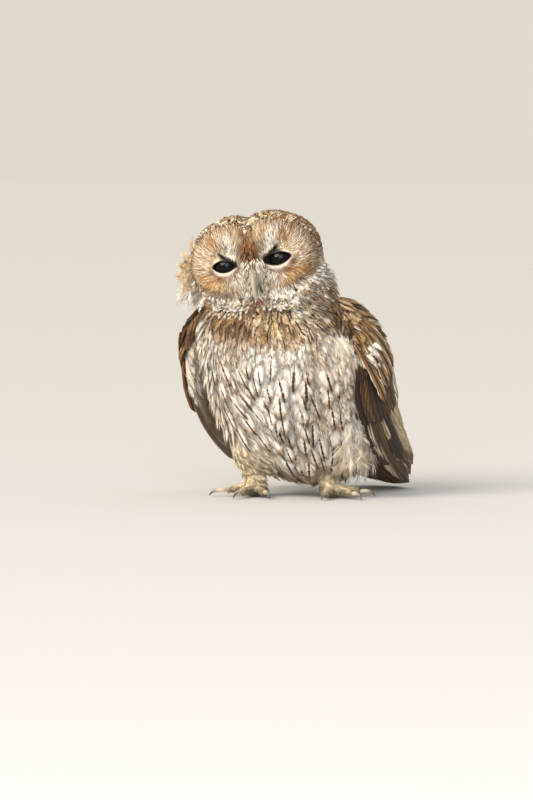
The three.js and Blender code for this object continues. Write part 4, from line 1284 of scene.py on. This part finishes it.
def tintFlank(r, f):
    # long white fluff under the wings, rusty at some tips
    count = len(f["root"])
    paint(f, "ground", "#fbf6ea", [("#efe1c6", dice.random(count)),
                                   ("#dcd8d2", 0.8 * (dice.random(count) > 0.7))])
    paint(f, "marking", "#4a3220", [("#6b4a2c", dice.random(count))])
    paint(f, "fringe", "#c39562", [("#d9bd92", dice.random(count))])
    mark(f, "rim", 0.7 * (dice.random(count) < 0.3))


ruffCoat = {
    "shapes": [scaleTip(4) for _ in range(8)], "material": shortFeather, "tries": 150000,
    "thick": 0.5, "arch": 0.15, "spacing": 1.7, "tipHeight": 8.0, "halfWidth": 1.35,
    "keep": lambda r: (r["headY"] < 0) & (r["headZ"] < -12) & (r["headZ"] > -52)
    & (r["reach"] > 1.0) & (r["reach"] < 1.5),
    "heading": chinHeading,
    "length": lambda r: 10.5 + 6 * ramp(-r["headZ"], 36, 48),
    "tint": tintChin,
}
napeCoat = {
    "shapes": [tuftlet(6, spread=0.9, width=0.17) for _ in range(8)],
    "material": shortFeather, "tries": 40000,
    "thick": 0.5, "arch": 0.15, "spacing": 2.7, "length": 17.5, "tipHeight": 11.0, "halfWidth": 2.1,
    "keep": lambda r: (r["headY"] < 14) & (r["headZ"] < -18) & (r["headZ"] > -56)
    & (r["reach"] > 1.05) & (r["headX"] > 28),
    "heading": chinHeading,
    "tint": tintChin,
}
earTuft = {
    "shapes": [plume(34, fray=0.5, width=0.05, core=0.16) for _ in range(7)],
    "material": shortFeather, "tries": 90000,
    "thick": 0.5, "arch": 0.1, "face": (-0.4, -1.0, 0.35),
    "spacing": 2.3, "length": 33, "tipHeight": 31.0, "halfWidth": 5.4,
    "keep": lambda r: (r["headX"] < -38) & within(r["headY"], 6.5, 18.5) & (r["headZ"] < 9)
    & (r["headZ"] > -27),
    "heading": headwards((0.5, 0.3, -0.3), 0.5),
    "tint": tintTuft,
}
whiskers = {
    "shapes": [hairShape() for _ in range(8)], "material": hair, "tries": 160000,
    "thick": 0.4, "arch": 0.0, "spacing": 0.9, "length": 13, "halfWidth": 0.42,
    "keep": lambda r: within(r["headX"], 0, 9.5) & (r["headY"] < -30) & (r["headZ"] < 2)
    & (r["headZ"] > -36),
    "heading": headwards((0.25, -0.5, -1.0), 0.22),
    "tipHeight": lambda r: 5.5 + 5.5 * ramp(-np.abs(r["headX"]), -6, -3),
    "tint": tintWhisker,
}
fluffCoat = {
    "shapes": [plume(38, fray=0.5, width=0.035, core=0.12) for _ in range(7)],
    "material": softFeather, "tries": 60000,
    "thick": 0.4, "arch": 0.1, "face": (0.4, -1.0, 0.2), "spacing": 4.2, "length": 42, "halfWidth": 6.5,
    "keep": lambda r: within(r["turn"], 87, 15) & within(r["z"], 66, 24),
    "heading": lambda r: [0.9, -0.1, -1.0] + dice.normal(0, 0.25, (len(r["turn"]), 3)),
    "tipHeight": lambda r: 29 - 14 * ramp(r["z"], 60, 90),
    "tint": tintFlank,
}
armpitCoat = dict(fluffCoat, spacing=3.6, length=34, tipHeight=23,
                  keep=lambda r: within(r["turn"], 83, 9) & within(r["z"], 156, 13))
flankCoat = {
    "shapes": [plume(26, fray=0.3, width=0.05, core=0.6) for _ in range(7)],
    "material": softFeather, "tries": 14000,
    "thick": 0.5, "arch": 0.1, "spacing": 4.4, "length": 26, "halfWidth": 5.8,
    "keep": lambda r: (r["onHead"] < 0.5) & (within(r["turn"], -80, 22) & within(r["z"], 135, 48)
                                             | within(r["turn"], 80, 12) & within(r["z"], 85, 68)),
    "heading": bodyHeading,
    "tipHeight": lambda r: 6 + 5 * (r["turn"] < 0),
    "tint": tintFlank,
}
faceCoat = {
    "shapes": [hairShape() for _ in range(8)], "material": hair, "tries": 420000,
    "thick": 0.4, "arch": 0.0, "spacing": 0.72, "halfWidth": 0.40,
    "keep": lambda r: (r["inDisc"] >= 0.5) & (eyeGap(r) > 2.2),
    "heading": headHeading,
    "length": lambda r: 5.0 + 7.0 * ramp(eyeGap(r), 4, 16),
    "tipHeight": lambda r: 1.2 + 2.4 * ramp(eyeGap(r), 4, 16),
    "tint": tintHead,
}

# in the order in which they are sown
coats = {
    "trunkCoat": ("breast", trunkCoat), "breastCoat": ("breast", breastCoat),
    "wispCoat": ("breast", wispCoat), "collarCoat": ("neck", collarCoat),
    "ventCoat": ("breast", ventCoat), "legCoat": ("leg", legCoat),
    "crownCoat": ("head", crownCoat), "rimCoat": ("head", rimCoat),
    "faceCoat": ("head", faceCoat), "ruffCoat": ("head", ruffCoat),
    "napeCoat": ("neck", napeCoat), "earTuft": ("head", earTuft),
    "whiskers": ("head", whiskers), "flankCoat": ("breast", flankCoat),
    "fluffCoat": ("breast", fluffCoat), "armpitCoat": ("breast", armpitCoat),
}
for name, (slotName, recipe) in coats.items():
    growCoat(name, recipe, skin, skinTree)


def faceOutward(piece):
    onlySelect(piece)
    bpy.ops.object.mode_set(mode="EDIT")
    bpy.ops.mesh.select_all(action="SELECT")
    bpy.ops.mesh.normals_make_consistent(inside=False)
    bpy.ops.object.mode_set(mode="OBJECT")


def makeLid(side, name):
    # a ring of skin over the ball: its inner edge is the almond opening, its outer edge sinks into the face
    deselectAll()
    major, minor = lidShape["segments"]
    tube = lidShape["tube"]
    bpy.ops.mesh.primitive_torus_add(major_segments=major, minor_segments=minor, major_radius=1,
                                     minor_radius=tube)
    lid = bpy.context.active_object
    lid.name = name
    co = points(lid)
    around = np.arctan2(co[:, 1], co[:, 0])
    out = (1 + (np.hypot(co[:, 0], co[:, 1]) - 1) / tube) / 2
    outside = co[:, 2] / tube
    a, b = np.cos(around), np.sin(around)
    height = np.where(b > 0, lidShape["above"], lidShape["below"])
    turn = math.radians(lidShape["tilt"])
    height = height * (1 - lidShape["flatten"] * (a * 13 / lidShape["flattenAt"]) ** 2)
    openA, openB = a * lidShape["halfWidth"], b * height
    if side < 0:
        openA, openB = openA * lidShape["rightSize"][0], openB * lidShape["rightSize"][1]
    middle = lidShape["centre"][0 if side > 0 else 1]
    openX = openA * math.cos(turn) - openB * math.sin(turn) + middle[0] - eyeShape["x"]
    openZ = openA * math.sin(turn) + openB * math.cos(turn) + middle[1] - eyeShape["z"]
    x = openX + (lidShape["edge"] * a - openX) * out
    z = openZ + (lidShape["edge"] * b - openZ) * out
    radius = eyeShape["radius"] + lidShape["lift"] + lidShape["thick"] * (0.5 + 0.5 * outside)
    y = -np.sqrt(np.maximum(radius ** 2 - x ** 2 - z ** 2, 1))
    h = np.stack([side * (eyeShape["x"] + x), eyeShape["y"] + y, eyeShape["z"] + z], 1)
    setPoints(lid, fromHead(h))
    faceOutward(lid)
    bpy.ops.object.shade_smooth()
    tintPiece(lid, faceGround(h, np.full(len(h), 0.5)), lidSkin)
    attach(lid, "root")
    return lid


# bare skin at the rim of the eyelids: dark, with a faint wet sheen
lidSkin = tintedMaterial("lidSkin", roughness=0.5, grain=0.8, depth=0.2, spread=0.1)
lidCoat = dict(faceCoat, tries=6000, spacing=0.95, keep=lambda r: eyeGap(r) > 1.8)
for side, name in ((1, "left"), (-1, "right")):
    lid = makeLid(side, "eyelid_" + name)
    growCoat("lidCoat_" + name, lidCoat, lid, treeOf(lid))
print("eyelids made")


# knots of the folded wing's front and rear edge from the shoulder down, mm in the body's frame
wingEdges = {
    "left": {
        "leading": [(58, -48, 200), (75, -40, 168), (81, -36, 132), (83, -32, 97), (86, -10, 66),
                    (88, 28, 38), (82, 104, 7)],
        "trailing": [(54, 10, 199), (76, 24, 176), (86, 34, 147), (90, 42, 97), (93, 58, 62),
                     (93, 84, 35), (86, 114, 9)],
    },
    "right": {
        "leading": [(-66, -64, 196), (-90, -54, 171), (-98, -43, 142), (-97, -38, 108), (-90, -14, 70),
                    (-84, 20, 42), (-72, 104, 7)],
        "trailing": [(-50, 2, 200), (-78, 12, 168), (-88, 26, 135), (-90, 40, 98), (-89, 60, 66),
                     (-85, 84, 38), (-75, 110, 9)],
    },
}
wingShape = {"camber": 9.0, "outer": 1.6, "inner": 4.0, "shoulder": 19.0, "coreEnd": 0.66,
             "coreBall": (32, 28), "slopeStep": 0.01, "tipScatter": (0.005, 0.012), "vaneThick": 0.35,
             "vaneArch": 0.05}


def curvePoint(knots, t):
    # points of a smooth curve through the knots, t from 0 at the first to 1 at the last
    knots = np.asarray(knots, float)
    t = np.clip(np.asarray(t, float), 0, 1) * (len(knots) - 1)
    k = np.minimum(t.astype(int), len(knots) - 2)
    s = (t - k)[:, None]
    a = np.where((k > 0)[:, None], knots[np.maximum(k - 1, 0)], 2 * knots[0] - knots[1])
    b, c = knots[k], knots[k + 1]
    d = np.where((k < len(knots) - 2)[:, None], knots[np.minimum(k + 2, len(knots) - 1)],
                 2 * knots[-1] - knots[-2])
    return 0.5 * (2 * b + (c - a) * s + (2 * a - 5 * b + 4 * c - d) * s * s
                  + (3 * b - a - 3 * c + d) * s ** 3)


def wingFrame(name, along, back):
    # the wing's sheet in mm and its outward normal
    edges = wingEdges[name]
    lead, trail = curvePoint(edges["leading"], along), curvePoint(edges["trailing"], along)
    step = wingShape["slopeStep"]
    ahead = sum(curvePoint(edges[e], along + step) - curvePoint(edges[e], along - step)
                for e in ("leading", "trailing"))
    chord = trail - lead
    out = unit(np.cross(ahead, chord))
    out *= np.where(out[:, 0] * lead[:, 0] < 0, -1, 1)[:, None]
    full = np.sin(math.pi * np.clip(0.12 + 0.88 * along, 0, 1))
    camber = wingShape["camber"] * 4 * back * (1 - back) * full
    return lead + chord * back[:, None] + out * camber[:, None], out


def wingCore(name):
    # the wing's flesh, thickest at the shoulder, under the vanes
    core = addBall("wingCore_" + name, *wingShape["coreBall"])
    ball = points(core)
    rise = (1 - ball[:, 2]) / 2
    girth = np.sqrt(np.clip(1 - ball[:, 2] ** 2, 0, 1))
    turn = np.arctan2(ball[:, 1], ball[:, 0])
    along = rise * wingShape["coreEnd"]
    back = 0.5 + 0.45 * girth ** 0.5 * np.cos(turn)
    inside = wingShape["inner"] + wingShape["shoulder"] * hump(along, 0.25, 0.26)
    depth = np.where(np.sin(turn) > 0, wingShape["outer"], inside) * (1 - 0.7 * rise)
    spot, out = wingFrame(name, along, back)
    setPoints(core, fromBody(spot + out * (depth * girth ** 0.5 * np.sin(turn))[:, None]))
    faceOutward(core)
    orderFaces(core)
    bpy.ops.object.shade_smooth()
    return core


# each tier: how many vanes, root and tip as (along, back) for the first and last, rise over the sheet in
# mm, and its tones: ground, rim, and how strongly it is barred
tiers = {
    "primaries": {
        "count": 9, "root": [(0.50, 0.16), (0.46, 0.5)], "tip": [(0.84, 0.0), (0.93, 0.72)],
        "reach": 0.12, "rise": (-0.5, 0.4), "halfWidth": 7.4, "tilt": 0.2,
        "material": flightFeather, "tones": ("#3a2d20", "#eee0c2", 0.35),
    },
    "secondaries": {
        "count": 9, "root": [(0.44, 0.4), (0.36, 0.86)], "tip": [(0.82, 0.56), (0.86, 0.98)],
        "reach": 0.02, "rise": (0.5, 2.0), "halfWidth": 7.8, "tilt": 0.16,
        "material": flightFeather, "tones": ("#4a3a28", "#e2cfa8", 0.35),
    },
    "greaterCoverts": {
        "count": 11, "root": [(0.37, 0.08), (0.3, 0.86)], "tip": [(0.60, 0.05), (0.54, 0.97)],
        "reach": 0.015, "rise": (1.2, 3.2), "halfWidth": 8.0, "tilt": 0.18,
        "material": firmFeather, "tones": ("#46301f", "#6d5236", 0.7),
    },
    "medianCoverts": {
        "count": 12, "root": [(0.25, 0.08), (0.20, 0.86)], "tip": [(0.42, 0.04), (0.37, 0.95)],
        "reach": 0.015, "rise": (1.4, 3.8), "halfWidth": 7.5, "tilt": 0.18,
        "material": mottledFeather, "tones": ("#6a4526", "#a07a4c", 0.6),
    },
    "lesserCoverts": {
        "count": 13, "root": [(0.15, 0.08), (0.11, 0.86)], "tip": [(0.31, 0.03), (0.27, 0.95)],
        "reach": 0.01, "rise": (1.4, 4.0), "halfWidth": 6.5, "tilt": 0.18,
        "material": mottledFeather, "tones": ("#6b4e2c", "#cba872", 0.6),
    },
    "scapulars": {
        "count": 4, "root": [(0.22, 0.0), (0.13, 0.30)], "tip": [(0.50, 0.44), (0.38, 0.88)],
        "reach": 0.0, "rise": (5.8, 8.0), "halfWidth": 6.6, "tilt": 0.1,
        "material": flightFeather, "tones": ("#9a7548", "#f7ecd2", 0.6),
    },
    "shoulder": {
        "count": 12, "root": [(0.06, 0.10), (0.03, 0.88)], "tip": [(0.21, 0.03), (0.17, 0.95)],
        "reach": 0.01, "rise": (1.4, 4.2), "halfWidth": 6.5, "tilt": 0.18,
        "material": mottledFeather, "tones": ("#775732", "#d6b887", 0.6),
    },
    "shoulderTop": {
        "count": 10, "root": [(0.0, 0.12), (0.0, 0.88)], "tip": [(0.12, 0.05), (0.10, 0.95)],
        "reach": 0.01, "rise": (0.0, 3.4), "halfWidth": 6.5, "tilt": 0.15,
        "material": mottledFeather, "tones": ("#80603a", "#dcc08e", 0.5),
    },
}


def wingFeathers(name):
    side = 1 if name == "left" else -1
    for tier, t in tiers.items():
        count = t["count"]
        share = np.linspace(0, 1, count)
        root, tip = (np.outer(1 - share, t[end][0]) + np.outer(share, t[end][1]) for end in ("root", "tip"))
        tip[:, 0] += t["reach"] * np.sin(math.pi * np.minimum(1, share * 1.25 + 0.1))
        tip += dice.normal(0, 1, tip.shape) * wingShape["tipScatter"]
        bend = (root + tip) / 2
        low, high = t["rise"]
        spots, ups = zip(*[wingFrame(name, np.clip(e[:, 0], 0, 1), e[:, 1]) for e in (root, bend, tip)])
        rises = (low, low + (high - low) * 0.55, high)
        p0, pm, p2 = (fromBody(spot + up * rise) for spot, up, rise in zip(spots, ups, rises))
        f = {"root": p0, "bend": 2 * pm - (p0 + p2) / 2, "tip": p2, "rootUp": ups[0], "tipUp": ups[2]}
        halfWidth = t["halfWidth"] * dice.uniform(0.94, 1.06, count)
        plainFeathers(f, halfWidth, wingShape["vaneThick"], wingShape["vaneArch"])
        # the edge towards the back of the wing lies under its neighbour
        f["tilt"] = np.full(count, t["tilt"] * -side)
        tintWing(tier, name, share, f)
        f["bakeAt"] = np.clip(np.stack([0.08 + 0.84 * root[:, 1], 0.05 + 0.9 * root[:, 0]], 1), 0.01, 0.99)
        soft = t["material"] is mottledFeather
        shapes = [plume(16, fray=0.06, width=0.16, core=0.78) if soft
                  else vaneShape(columns=8, rows=26, roundness=2.2, splits=10) for _ in range(5)]
        growFeathers(f"{tier}_{name}", shapes, f, t["material"])


def tintWing(tier, name, share, f):
    # brown with paler rims; the feathers next to the back carry white outer webs
    count = len(share)
    base, rim, bars = tiers[tier]["tones"]
    light = dice.random(count)
    u, v = viewSpot(toBody(f["root"] + 0.75 * (f["tip"] - f["root"])))
    white = np.maximum(light > 0.92, spotAt(u, v, (81, 141), (10, 13)) > 0.4)
    white = white * (tier in ("lesserCoverts", "medianCoverts", "shoulder"))
    isLeft = name == "left"
    outermost = (share > 0.88) * isLeft * (tier in ("greaterCoverts", "medianCoverts"))
    white = np.maximum(white, outermost)
    # the right wing is rustier; the left wing's front feathers lie in the shade of the breast's
    far = 0.0 if isLeft else 0.3 if tier in ("primaries", "secondaries") else 0.8
    under = ramp(-share, -0.16, -0.02) * isLeft * (tier not in ("shoulder", "shoulderTop", "scapulars"))
    paint(f, "ground", base, [
        ("#b27a3c", far * (0.45 + 0.55 * dice.random(count))), ("#a07a50", 0.4 * light),
        ("#e9e0cd", 0.85 * white), ("#1c130c", 0.9 * under),
    ])
    paint(f, "marking", "#3a2919", [("#261a11", dice.random(count))])
    paint(f, "fringe", rim, [
        ("#efe6d4", 0.8 * white), ("#ead3a6", np.full(count, far)), ("#33241a", under),
    ])
    mark(f, "rim", dice.uniform(0.6, 1.0, count))
    mark(f, "streak", 0.05 if tier in ("primaries", "secondaries") else 0.22)
    mark(f, "bars", bars)


def tintMantle(r, f):
    # the top of the wing: rusty, cream and dark brown feathers mixed
    count = len(f["root"])
    speck = dice.random(count)
    patch = smoothNoise(fromBody(r["body"]), 0.009, 8)
    u, v = viewSpot(r["body"])
    paint(f, "ground", "#7a5028", [
        ("#bda077", 0.85 * ramp(patch, 0.58, 0.68)), ("#4b3220", 0.85 * ramp(-patch, -0.44, -0.34)),
        ("#b8935f", 0.8 * ramp(speck, 0.70, 0.74)), ("#3d2918", ramp(speck, 0.82, 0.86)),
        ("#ebdfc8", ramp(speck, 0.94, 0.96)),
        ("#d8bf94", 0.75 * spotAt(u, v, (46, 184), (20, 16)) * ramp(-speck, -0.8, -0.7)),
    ])
    paint(f, "marking", "#38271a", [("#57391f", dice.random(count))])
    paint(f, "fringe", "#cfae78", [("#a97c48", dice.random(count))])
    mark(f, "rim", dice.uniform(0.2, 0.8, count))
    mark(f, "streak", 0.22 * (dice.random(count) < 0.6))
    mark(f, "bars", 0.7 * dice.random(count))


def tintLining(r, f):
    # white down inside the wing, brown towards the back
    count = len(f["root"])
    behind = ramp(r["y"], -14, 12)
    paint(f, "ground", "#f6f0e4", [
        ("#e6d6b8", 0.8 * dice.random(count)), ("#cfc9c0", 0.9 * (dice.random(count) > 0.85)),
        ("#7d5c38", 0.9 * behind), ("#4f3823", 0.6 * behind * dice.random(count)),
    ])
    paint(f, "marking", "#6b5136", [("#94734d", dice.random(count))])
    mark(f, "streak", 0.12 * (dice.random(count) < 0.2))


def wingHeading(r):
    out = np.tile([0.0, 0.45, -1.0], (len(r["turn"]), 1))
    return out + dice.normal(0, 0.12, out.shape)


mantleCoat = {
    "shapes": [softVane(18, fray=0.05, width=0.06) for _ in range(7)],
    "material": mottledFeather, "tries": 9000,
    "thick": 0.5, "arch": 0.12, "spacing": 4.6, "length": 19, "tipHeight": 6.0, "halfWidth": 4.8,
    "keep": lambda r: (r["up"][:, 0] * r["x"] > -0.1) & (r["z"] > 146) & (r["up"][:, 2] < 0.85),
    "heading": wingHeading,
    "tint": tintMantle,
}


def tintPatch(r, f):
    paint(f, "ground", "#fffaf0", [("#eae4da", dice.random(len(f["root"])))])


# the white patch on the shoulder
patchCoat = dict(mantleCoat, spacing=3.2, length=23, tipHeight=11.5, halfWidth=4.0, tint=tintPatch,
                 material=softFeather,
                 shapes=[plume(24, fray=0.15, width=0.09, core=0.8) for _ in range(5)],
                 keep=lambda r: (r["up"][:, 0] * r["x"] > -0.1)
                 & (spotAt(*viewSpot(r["body"]), (71, 156), (4, 7)) > 0.35))
liningCoat = {
    "shapes": [plume(26, fray=0.3, width=0.05, core=0.6) for _ in range(7)],
    "material": softFeather, "tries": 9000,
    "thick": 0.5, "arch": 0.1, "spacing": 4.4, "length": 22, "tipHeight": 4.0, "halfWidth": 5.6,
    "keep": lambda r: (r["up"][:, 0] * r["x"] < 0) & (r["z"] > 100),
    "heading": wingHeading,
    "tint": tintLining,
}
wingCores = {name: wingCore(name) for name in ("left", "right")}
for name, core in wingCores.items():
    wingFeathers(name)
    coreTree = treeOf(core)
    growCoat("mantleCoat_" + name, mantleCoat, core, coreTree)
    if name == "left":
        growCoat("patchCoat", patchCoat, core, coreTree)
    growCoat("liningCoat_" + name, liningCoat, core, coreTree)


# knots from root to tip in mm; each pair ends stepBack mm before the pair inside it
tailShape = {
    "path": [(4, 34, 78), (15, 84, 45), (29, 128, 17), (43, 168, 1.2)], "length": 165, "rootAt": 0.12,
    "pairs": 6, "spacing": 4.4, "fan": 0.34, "halfWidth": 11.5, "stepBack": 2.6, "tilt": 0.27,
    "thick": 0.35, "arch": 0.04,
}


def tailFeathers():
    t = tailShape
    rank = np.repeat(np.arange(t["pairs"]), 2)
    side = np.tile([1, -1], t["pairs"])
    count = len(rank)
    end = 1 - (rank * t["stepBack"] + dice.uniform(0, 1.5, count)) / t["length"]
    spots = []
    for share in (0.0, 0.5, 1.0):
        where = t["rootAt"] + (end - t["rootAt"]) * share
        centre = curvePoint(t["path"], where)
        ahead = unit(curvePoint(t["path"], where + 0.01) - curvePoint(t["path"], where - 0.01))
        beside = unit(np.cross(ahead, [0, 0, 1.0]))
        up = np.cross(beside, ahead)
        offset = side * (2 + t["spacing"] * rank) * (0.75 + t["fan"] * share)
        lift = np.where((rank == 0) & (side > 0), 2.0, 0.8)
        spots.append((centre + beside * offset[:, None] + up * lift[:, None], up))
    p0, pm, p2 = (fromBody(spot) for spot, _ in spots)
    f = {"root": p0, "bend": 2 * pm - (p0 + p2) / 2, "tip": p2, "rootUp": spots[0][1], "tipUp": spots[2][1]}
    plainFeathers(f, t["halfWidth"], t["thick"], t["arch"])
    f["tilt"] = np.where((rank == 0) & (side > 0), 0, t["tilt"] * side * 0.8)
    paint(f, "ground", "#7a5f40", [("#a08259", dice.random(count))])
    paint(f, "marking", "#4a3423", [("#3a281c", side > 0)])
    paint(f, "fringe", "#c2ad82", [("#a58f66", dice.random(count))])
    mark(f, "rim", 0.6)
    mark(f, "streak", 0.05)
    mark(f, "bars", 0.5)
    f["bakeAt"] = np.stack([0.5 + side * (0.04 + 0.07 * rank), np.full(count, 0.3)], 1)
    shapes = [vaneShape(columns=8, rows=30, roundness=2.4, splits=12) for _ in range(5)]
    growFeathers("tailVanes", shapes, f, firmFeather)


tailFeathers()


hardParts = {"levels": 2, "weld": 0.00001}  # subdivisions, and metres between points that are one


def smoothCopy(node, name):
    piece = copyNode(node)
    piece.name = name
    onlySelect(piece)
    bpy.ops.object.mode_set(mode="EDIT")
    bpy.ops.mesh.select_all(action="SELECT")
    bpy.ops.mesh.remove_doubles(threshold=hardParts["weld"])
    bpy.ops.object.mode_set(mode="OBJECT")
    applyModifier(piece, "SUBSURF", levels=hardParts["levels"], render_levels=hardParts["levels"])
    bpy.ops.object.shade_smooth()
    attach(piece, "root")
    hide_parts(node)
    return piece


def eyeMaterial():
    # wet cornea over a near-black iris
    material, _, shader = newMaterial("wetEye")
    setInputs(shader, {"Base Color": (*linear("#070504"), 1), "Roughness": 0.09,
                       "Specular IOR Level": 0.27, "IOR": 1.38})
    return material


wetEye = eyeMaterial()
# keratin sheath: smooth, with a faint lengthwise grain
horn = tintedMaterial("horn", roughness=0.36, grain=2.0, depth=0.2, spread=0.1, shine=0.5)
# the colour at the root, then colours with the shares of the length over which each comes in
hornTones = {
    "claw": ("#c2b8a4", [("#857a68", 0.3, 0.7), ("#3f372f", 0.6, 1.0)]),
    "bill": ("#75725f", [("#96937f", 0.2, 0.6), ("#aca78e", 0.7, 1.0)]),
}


def tintAlong(piece, start, kind):
    # blends colours by the distance from a start point, 0 to 1
    away = np.linalg.norm(points(piece) - np.array(start), axis=1)
    share = (away - away.min()) / (away.max() - away.min())
    base, layers = hornTones[kind]
    tintPiece(piece, blendColours(base, [(colour, ramp(share, low, high)) for colour, low, high in layers]),
              horn)


for name in ("left", "right"):
    eye = smoothCopy("eye_" + name, "eyeball_" + name)
    eye.data.materials.append(wetEye)
    for toe in ("inner", "middle", "outer", "hind"):
        claw = smoothCopy(f"claw_{name}_{toe}", f"hornClaw_{name}_{toe}")
        tintAlong(claw, boxCentre("foot_" + name), "claw")
for node in ("bill_upper", "bill_lower"):
    bill = smoothCopy(node, "horn_" + node)
    tintAlong(bill, headOrigin, "bill")
print("eyes, claws and bill made")


def finishSkin():
    joinTo(skin, list(wingCores.values()))
    co = points(skin)
    r = regions(co)
    trunk, head = trunkGround(r), headGround(r, np.full(len(co), 0.3))
    mixed = trunk + (head - trunk) * r["onHead"][:, None]
    # down between the feathers: matt, in the coat's colours but deeper
    downySkin = tintedMaterial("downySkin", roughness=0.9, grain=1.4, depth=0.6, spread=0.2)
    tintPiece(skin, mixed * 0.85, downySkin)
    onlySelect(skin)
    bpy.ops.object.shade_smooth()
    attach(skin, "root")
    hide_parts("torso", "neck", "head", "leg_left", "leg_right", "foot_left", "foot_right",
                "wing_left", "wing_right", "tail")


finishSkin()
print("skin finished")
